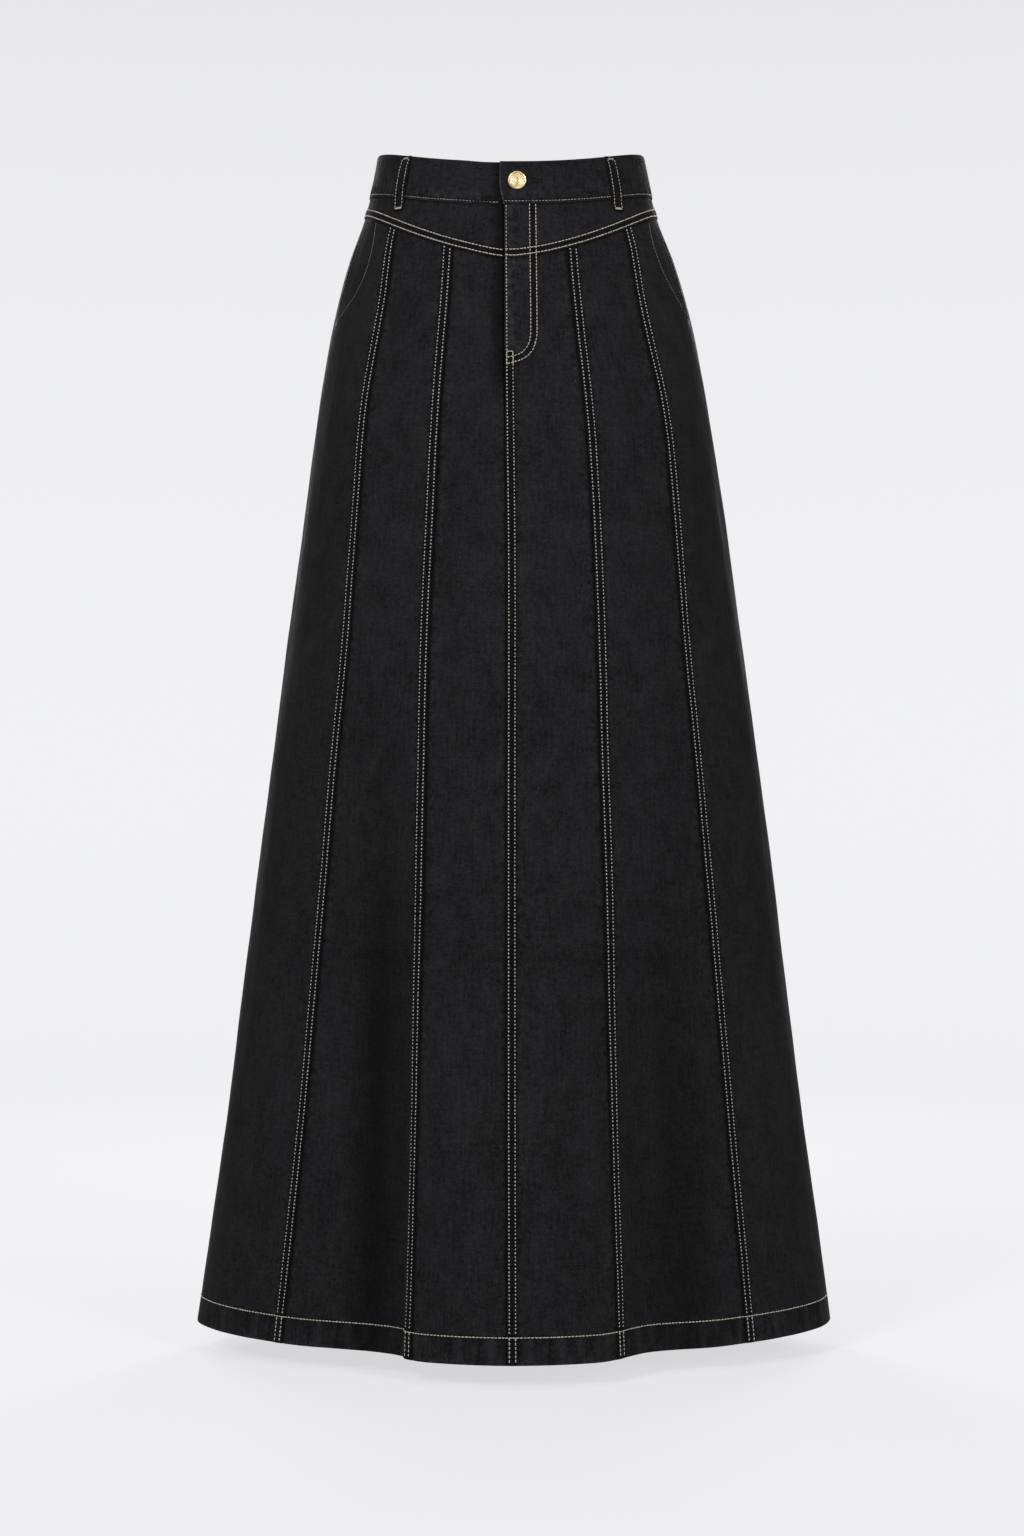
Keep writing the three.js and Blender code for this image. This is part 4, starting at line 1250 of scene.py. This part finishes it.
# The fly: the two J-shaped lines, its edge and the small box at its foot, from point to point by x, z
BOX_LEFT, BOX_RIGHT = -4.6, 0.9
FLY_BOX = [
    ((BOX_LEFT, BOX_TOP), (BOX_RIGHT, BOX_TOP)),
    ((BOX_RIGHT, BOX_TOP), (BOX_RIGHT, -188)),
    ((BOX_LEFT, BOX_TOP), (BOX_LEFT, -189)),
]
fly_paths = [fly_line(*curve, style) for curve, style in zip((J_INNER, J_OUTER), J_STITCHES)]
edge_z = np.linspace(-43, -93, 60)
edge_angle = along(seam["centre"](edge_z), edge_z, FIRST_LINE)
fly_paths.append(path(edge_angle, edge_z, right_front_lift(edge_angle, edge_z), *FLY_EDGE_STITCH))
for first, last in FLY_BOX:
    fly_paths.append(fly_line(*np.linspace(first, last, 12).T, FLY_BOX_STITCH))
stitches("topstitch_fly", fly_paths, "thread")

# Teeth of the zip, from both tapes in turn
TEETH = 58
TOOTH_STEP = 2.1
teeth = []
for k in range(TEETH):
    z = np.full(4, ZIP_TOP - 9 - TOOTH_STEP * k)
    middle = 0.5 * (ZIP_START + ZIP_END) + 0 * z
    reach = np.linspace(-2.2, 0.6, 4) if k % 2 else np.linspace(-0.6, 2.2, 4)
    teeth.append(path(along(middle, z, reach), z, -ZIP_DEPTH - 0.3, *ZIP_TOOTH))
stitches("zip_teeth", teeth, "brass", "brass")

# Pocket mouths: a quiet line, by angle and z, and a small bar at the bottom of each
POCKET_LINES = [
    [
        (-62.7, -50), (-60.5, -62), (-59, -71.5), (-58.5, -85.4), (-59.8, -101), (-64, -116.9),
        (-70.7, -130), (-75, -135),
    ],
    [(65.4, -50), (62.6, -62), (61.4, -76), (62.5, -93.5), (66.3, -109), (73.5, -127.2), (76, -132)],
]
pocket_lines = [path(*smooth_curve(line), 0.04, *POCKET_STITCH) for line in POCKET_LINES]
stitches("pocket_lines", pocket_lines, "thread_smoke")
bars = []
for sign, side in ((-1, "side_left"), (1, "side_right")):
    for row in range(4):
        z = np.linspace(MOUTH_BOTTOM + 3.5, MOUTH_BOTTOM - 4.5, 8)
        bars.append(path(along(seam[side](z), z, sign * (row - 1.2) * 0.6), z, 0.16, *POCKET_BAR))
stitches("pocket_bars", bars, "thread_grey")


# Belt loops
LOOP_ANGLES = {
    "front_left": -48.5, "front_right": 45.3, "back_left": -135, "back_right": 135,
    "back_centre": 180,
}
LOOP_WIDTH = 11
LOOP_BELOW = 11
LOOP_LIFTS = [
    (0, 1.35), (0.04, 1.35), (0.08, 1.45), (0.14, 2.1), (0.22, 2.9), (0.45, 3.3), (0.62, 3.15),
    (0.72, 2.6), (0.8, 1.9), (0.87, 0.95), (0.92, 0.5), (1, 0.45),
]
LOOP_ACROSS = [
    (-0.5, 0.75), (-0.485, 1.2), (-0.43, 1.5), (-0.35, 1.4), (-0.28, 1.55), (-0.13, 1.6), (0, 1.6),
    (0.13, 1.6), (0.28, 1.55), (0.35, 1.4), (0.43, 1.5), (0.485, 1.2), (0.5, 0.75),
]


def loop_place(angle, share, side):
    top = float(band_top(angle)) - 1
    bottom = float(band_bottom(angle)) - LOOP_BELOW
    z = mix(top, bottom, share)
    lift = np.interp(share, *np.array(LOOP_LIFTS).T)
    return along(angle + 0 * z, z, side * LOOP_WIDTH), z, lift


# Bars that hold a loop: share of its length, tone, reach to either side
LOOP_BARS = [(0.045, 0.5, 0.36), (0.968, 0.95, 0.43)]
LOOP_LINE = 0.35
LOOP_SHARES = np.concatenate([[0, 0.006, 0.02], np.linspace(0.05, 0.97, 40), [0.985, 0.995, 1]])
loop_threads, loop_bars = [], []
for place, angle in LOOP_ANGLES.items():
    share = LOOP_SHARES[:, None]
    sides, rise = np.array(LOOP_ACROSS).T[:, None, :]
    at, z, lift = loop_place(angle, share + 0 * sides, sides)
    ends = smooth(np.minimum(share, 1 - share) / 0.015)
    bar = np.exp(-(((share - 0.055) / 0.02) ** 2)) + np.exp(-(((share - 0.965) / 0.02) ** 2))
    top_face = lift + mix(0.7, rise, 0.35 + 0.65 * ends) - 0.15 * bar
    out = np.abs(sides)
    # Painted shade: darker along the loop's edges and beside its lines than in its middle
    wear_and_shading = np.where(out > 0.4, 0.5, np.where(out > 0.25, 0.36, 0.55)) + 0 * z
    uv = np.stack([sides * LOOP_WIDTH + 0 * z + 50 * len(place), z], -1)
    piece = sheet(
        "belt_loop_" + place + "_cloth", skin(at, z, top_face), skin(at, z, lift + 0.02), uv,
        wear_and_shading * (1 - 0.3 * bar), 0.5 + 0 * z,
    )
    finish_cloth(piece, "belt_loop_" + place, (0.012, 0.053))
    for line in (-LOOP_LINE, LOOP_LINE):
        at, z, lift = loop_place(angle, np.linspace(0.05, 0.96, 60), line)
        loop_threads.append(path(at, z, lift + 1.42, *LOOP_STITCH))
    for centre, tone, reach in LOOP_BARS:
        for row in range(3):
            side = np.linspace(-reach, reach, 10)
            at, z, lift = loop_place(angle, np.full(10, centre + (row - 1) * 0.012), side)
            loop_bars.append(path(at, z, lift + 1.4, 9.4, 9, 0.62, tone))
stitches("topstitch_loops", loop_threads, "thread")
stitches("loop_bars", loop_bars, "thread")


# The button, its rings and the buttonhole
BUTTON_ANGLE = 2.4
BUTTON_Z = -21.5
BUTTON_SIDES = 72
BUTTON_PROFILE = [
    # radius, height over the nominal face, wear
    (0.0, -7.3, 0.6), (3.9, -7.3, 0.7), (4.6, -6.6, 0.8), (4.6, -6.0, 0.6), (2.2, -6.0, 0.5),
    (2.2, 1.4, 0.4), (8.0, 1.4, 0.5), (8.3, 1.55, 0.8), (8.4, 1.95, 1.15), (8.35, 2.6, 1.3),
    (8.1, 3.15, 1.45), (7.7, 3.38, 1.5), (7.3, 3.3, 1.2), (7.0, 3.06, 0.75), (6.75, 3.0, 0.7),
    (6.4, 3.06, 1.0), (5.6, 3.14, 1.1), (5.45, 3.08, 0.85), (5.3, 3.08, 0.85), (5.15, 3.16, 1.1),
    (4.2, 3.22, 1.12), (4.05, 3.16, 0.88), (3.9, 3.16, 0.88), (3.75, 3.24, 1.12), (2.7, 3.28, 1.1),
    (2.5, 3.16, 0.75), (2.3, 3.16, 0.75), (2.1, 3.3, 1.1), (1.2, 3.34, 1.1), (0.0, 3.34, 1.1),
]


def button():
    profile = np.array(BUTTON_PROFILE)
    turn = np.linspace(0, 2 * np.pi, BUTTON_SIDES, endpoint=False)
    up = normal(BUTTON_ANGLE, BUTTON_Z)
    side = np.cross([0, 0, 1], up)
    side = side / np.linalg.norm(side)
    rise = np.cross(up, side)
    centre = surface(BUTTON_ANGLE, BUTTON_Z)
    rings = profile[1:-1]
    round_up = np.cos(turn)[None, :, None] * side + np.sin(turn)[None, :, None] * rise
    points = centre + rings[:, None, 0:1] * round_up + rings[:, None, 1:2] * up
    points = points.reshape(-1, 3)
    first = centre + profile[0, 1] * up
    last = centre + profile[-1, 1] * up
    points = np.concatenate([points, [first, last]])
    n = BUTTON_SIDES
    faces = []
    for r in range(len(rings) - 1):
        for k in range(n):
            a, b = r * n + k, r * n + (k + 1) % n
            faces += [(a, b, b + n), (a, b + n, a + n)]
    bottom, top = len(points) - 2, len(points) - 1
    high = (len(rings) - 1) * n
    for k in range(n):
        faces.append((bottom, (k + 1) % n, k))
        faces.append((top, high + k, high + (k + 1) % n))
    wear_and_shading = np.concatenate([np.repeat(rings[:, 2], n), [profile[0, 2], profile[-1, 2]]])
    piece = make_mesh("button_cap", points, np.array(faces), None, wear_and_shading, sharp=40)
    finish(piece, "brass", "brass")
    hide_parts("button")
    pits = []
    for dx, dz in ((-0.9, 0.5), (0.5, -0.8)):
        at = centre + side * dx + rise * dz + up * 3.3
        a = np.array([at - side * 0.45, at + side * 0.45])
        pits.append((a, np.array([up, up]), 0.9, 0.8, 0.7, 0.4))
    stitches("button_pits", pits, "thread_black")


button()

# The buttonhole runs from under the button to the right, with an eye at its far end
HOLE_Z = BUTTON_Z + 0.4
HOLE_START = 9.5
HOLE_STEP = 0.44
EYE_X = 25.2


def hole_line(x, z):
    return path(angle_of_x(x, z), z, 1.0, *BUTTONHOLE_STITCH)


hole = []
for k in range(36):
    x = HOLE_START + HOLE_STEP * k
    for side in (-1, 1):
        inner = mix(3.0, 0.35, smooth((x - 9) / 15))
        z = HOLE_Z + side * np.linspace(inner, inner + 1.9, 4)
        hole.append(hole_line(x + 0 * z, z))
for k in range(9):
    turn = math.radians(-70 + k * 140 / 8)
    reach = np.linspace(0.3, 2.2, 4)
    hole.append(hole_line(EYE_X + reach * math.cos(turn), HOLE_Z + reach * math.sin(turn)))
stitches("buttonhole", hole, "thread_black")


# Floor, light and camera
FLOOR_Z = -1.076
CAMERA_DISTANCE = 3.0
CAMERA_HEIGHT = -0.544
FOCAL_PIXELS = 3260.9
PICTURE_HEIGHT = 1536
SENSOR = 36.0


# A round floor that fades out into the backdrop
FLOOR_RADIUS = 9
FLOOR_FADE = (0.75, 2.8)
FLOOR_GLOW = 0.74


def floor():
    mesh = bpy.data.meshes.new("floor")
    count = 96
    turn = np.linspace(0, 2 * np.pi, count, endpoint=False)
    rim = [(FLOOR_RADIUS * math.cos(t), FLOOR_RADIUS * math.sin(t), FLOOR_Z) for t in turn]
    mesh.from_pydata(rim, [], [tuple(range(count))])
    piece = bpy.data.objects.new("floor", mesh)
    bpy.context.scene.collection.objects.link(piece)
    m = Shader(bpy.data.materials.new("pale_floor"))
    m.set(Base_Color=(0.105, 0.105, 0.106, 1), Roughness=1.0, Specular_IOR_Level=0.0)
    m.set(Emission_Color=(0.872, 0.874, 0.89, 1), Emission_Strength=FLOOR_GLOW)
    distance = m.node("VectorMath", {0: m.object_place()}, operation="LENGTH").outputs["Value"]
    limits = {"Value": distance, "From Min": FLOOR_FADE[0], "From Max": FLOOR_FADE[1]}
    fade = m.node("MapRange", limits, interpolation_type="SMOOTHSTEP").outputs[0]
    clear = m.node("BsdfTransparent", {}).outputs[0]
    blend = m.node("MixShader", {0: fade, 1: m.surface.outputs[0], 2: clear}).outputs[0]
    m.put(m.nodes["Material Output"].inputs["Surface"], blend)
    mesh.materials.append(m.owner)


floor()

# The studio's light comes mostly from the front and the back. Seen straight from the camera, the
# backdrop fades only with height, so it is even from every side
BACKDROP = 0.975
BACKDROP_FADE = -1.6
LIGHT_STEPS = [("ABSOLUTE", 0.0), ("POWER", 5.0), ("MULTIPLY", 0.65), ("ADD", 0.35)]

scene = bpy.context.scene
scene.view_settings.view_transform = "Standard"
scene.view_settings.look = "None"
scene.world = bpy.data.worlds.new("studio")
sky = Shader(scene.world, "Background")
direction = sky.node("TexCoord", {}).outputs["Generated"]
parts = sky.node("SeparateXYZ", {0: direction}).outputs
level = parts["Y"]
for operation, amount in LIGHT_STEPS:
    level = sky.math(operation, level, amount)
squares = sky.math("MULTIPLY", parts["Z"], parts["Z"])
drop = sky.math("MULTIPLY_ADD", squares, BACKDROP_FADE, BACKDROP)
seen = sky.node("LightPath", {}).outputs["Is Camera Ray"]
choice = sky.node("Mix", {"Factor": seen, "A": level, "B": drop}).outputs["Result"]
sky.set(Color=(0.9, 0.902, 0.918, 1), Strength=choice)

LIGHTS = [
    # name, place, target, size, watts
    ("key", (-1.5, -3.0, 1.1), (0, 0, -0.55), 1.1, 165),
    ("fill", (1.9, -2.9, 0.5), (0, 0, -0.55), 1.3, 105),
    ("top", (0, -0.6, 2.4), (0, 0, -0.3), 1.6, 30),
    ("back_left", (-1.25, 3.15, 0.9), (0, 0, -0.55), 1.4, 150),
    ("back_right", (1.25, 3.15, 0.9), (0, 0, -0.55), 1.4, 150),
]
for name, place, target, size, watts in LIGHTS:
    light = bpy.data.lights.new(name, "AREA")
    light.shape = "DISK"
    light.size = size
    light.energy = watts
    lamp = bpy.data.objects.new(name, light)
    lamp.location = place
    lamp.rotation_mode = "QUATERNION"
    lamp.rotation_quaternion = (Vector(target) - Vector(place)).to_track_quat("-Z", "Y")
    lamp.visible_camera = False
    scene.collection.objects.link(lamp)

lens = bpy.data.cameras.new("camera")
lens.sensor_width = SENSOR
lens.lens = SENSOR * FOCAL_PIXELS / PICTURE_HEIGHT
lens.clip_end = 200
camera = bpy.data.objects.new("camera", lens)
camera.location = (0, -CAMERA_DISTANCE, CAMERA_HEIGHT)
camera.rotation_euler = (math.radians(90), 0, 0)
scene.collection.objects.link(camera)
scene.camera = camera

bpy.context.view_layer.update()
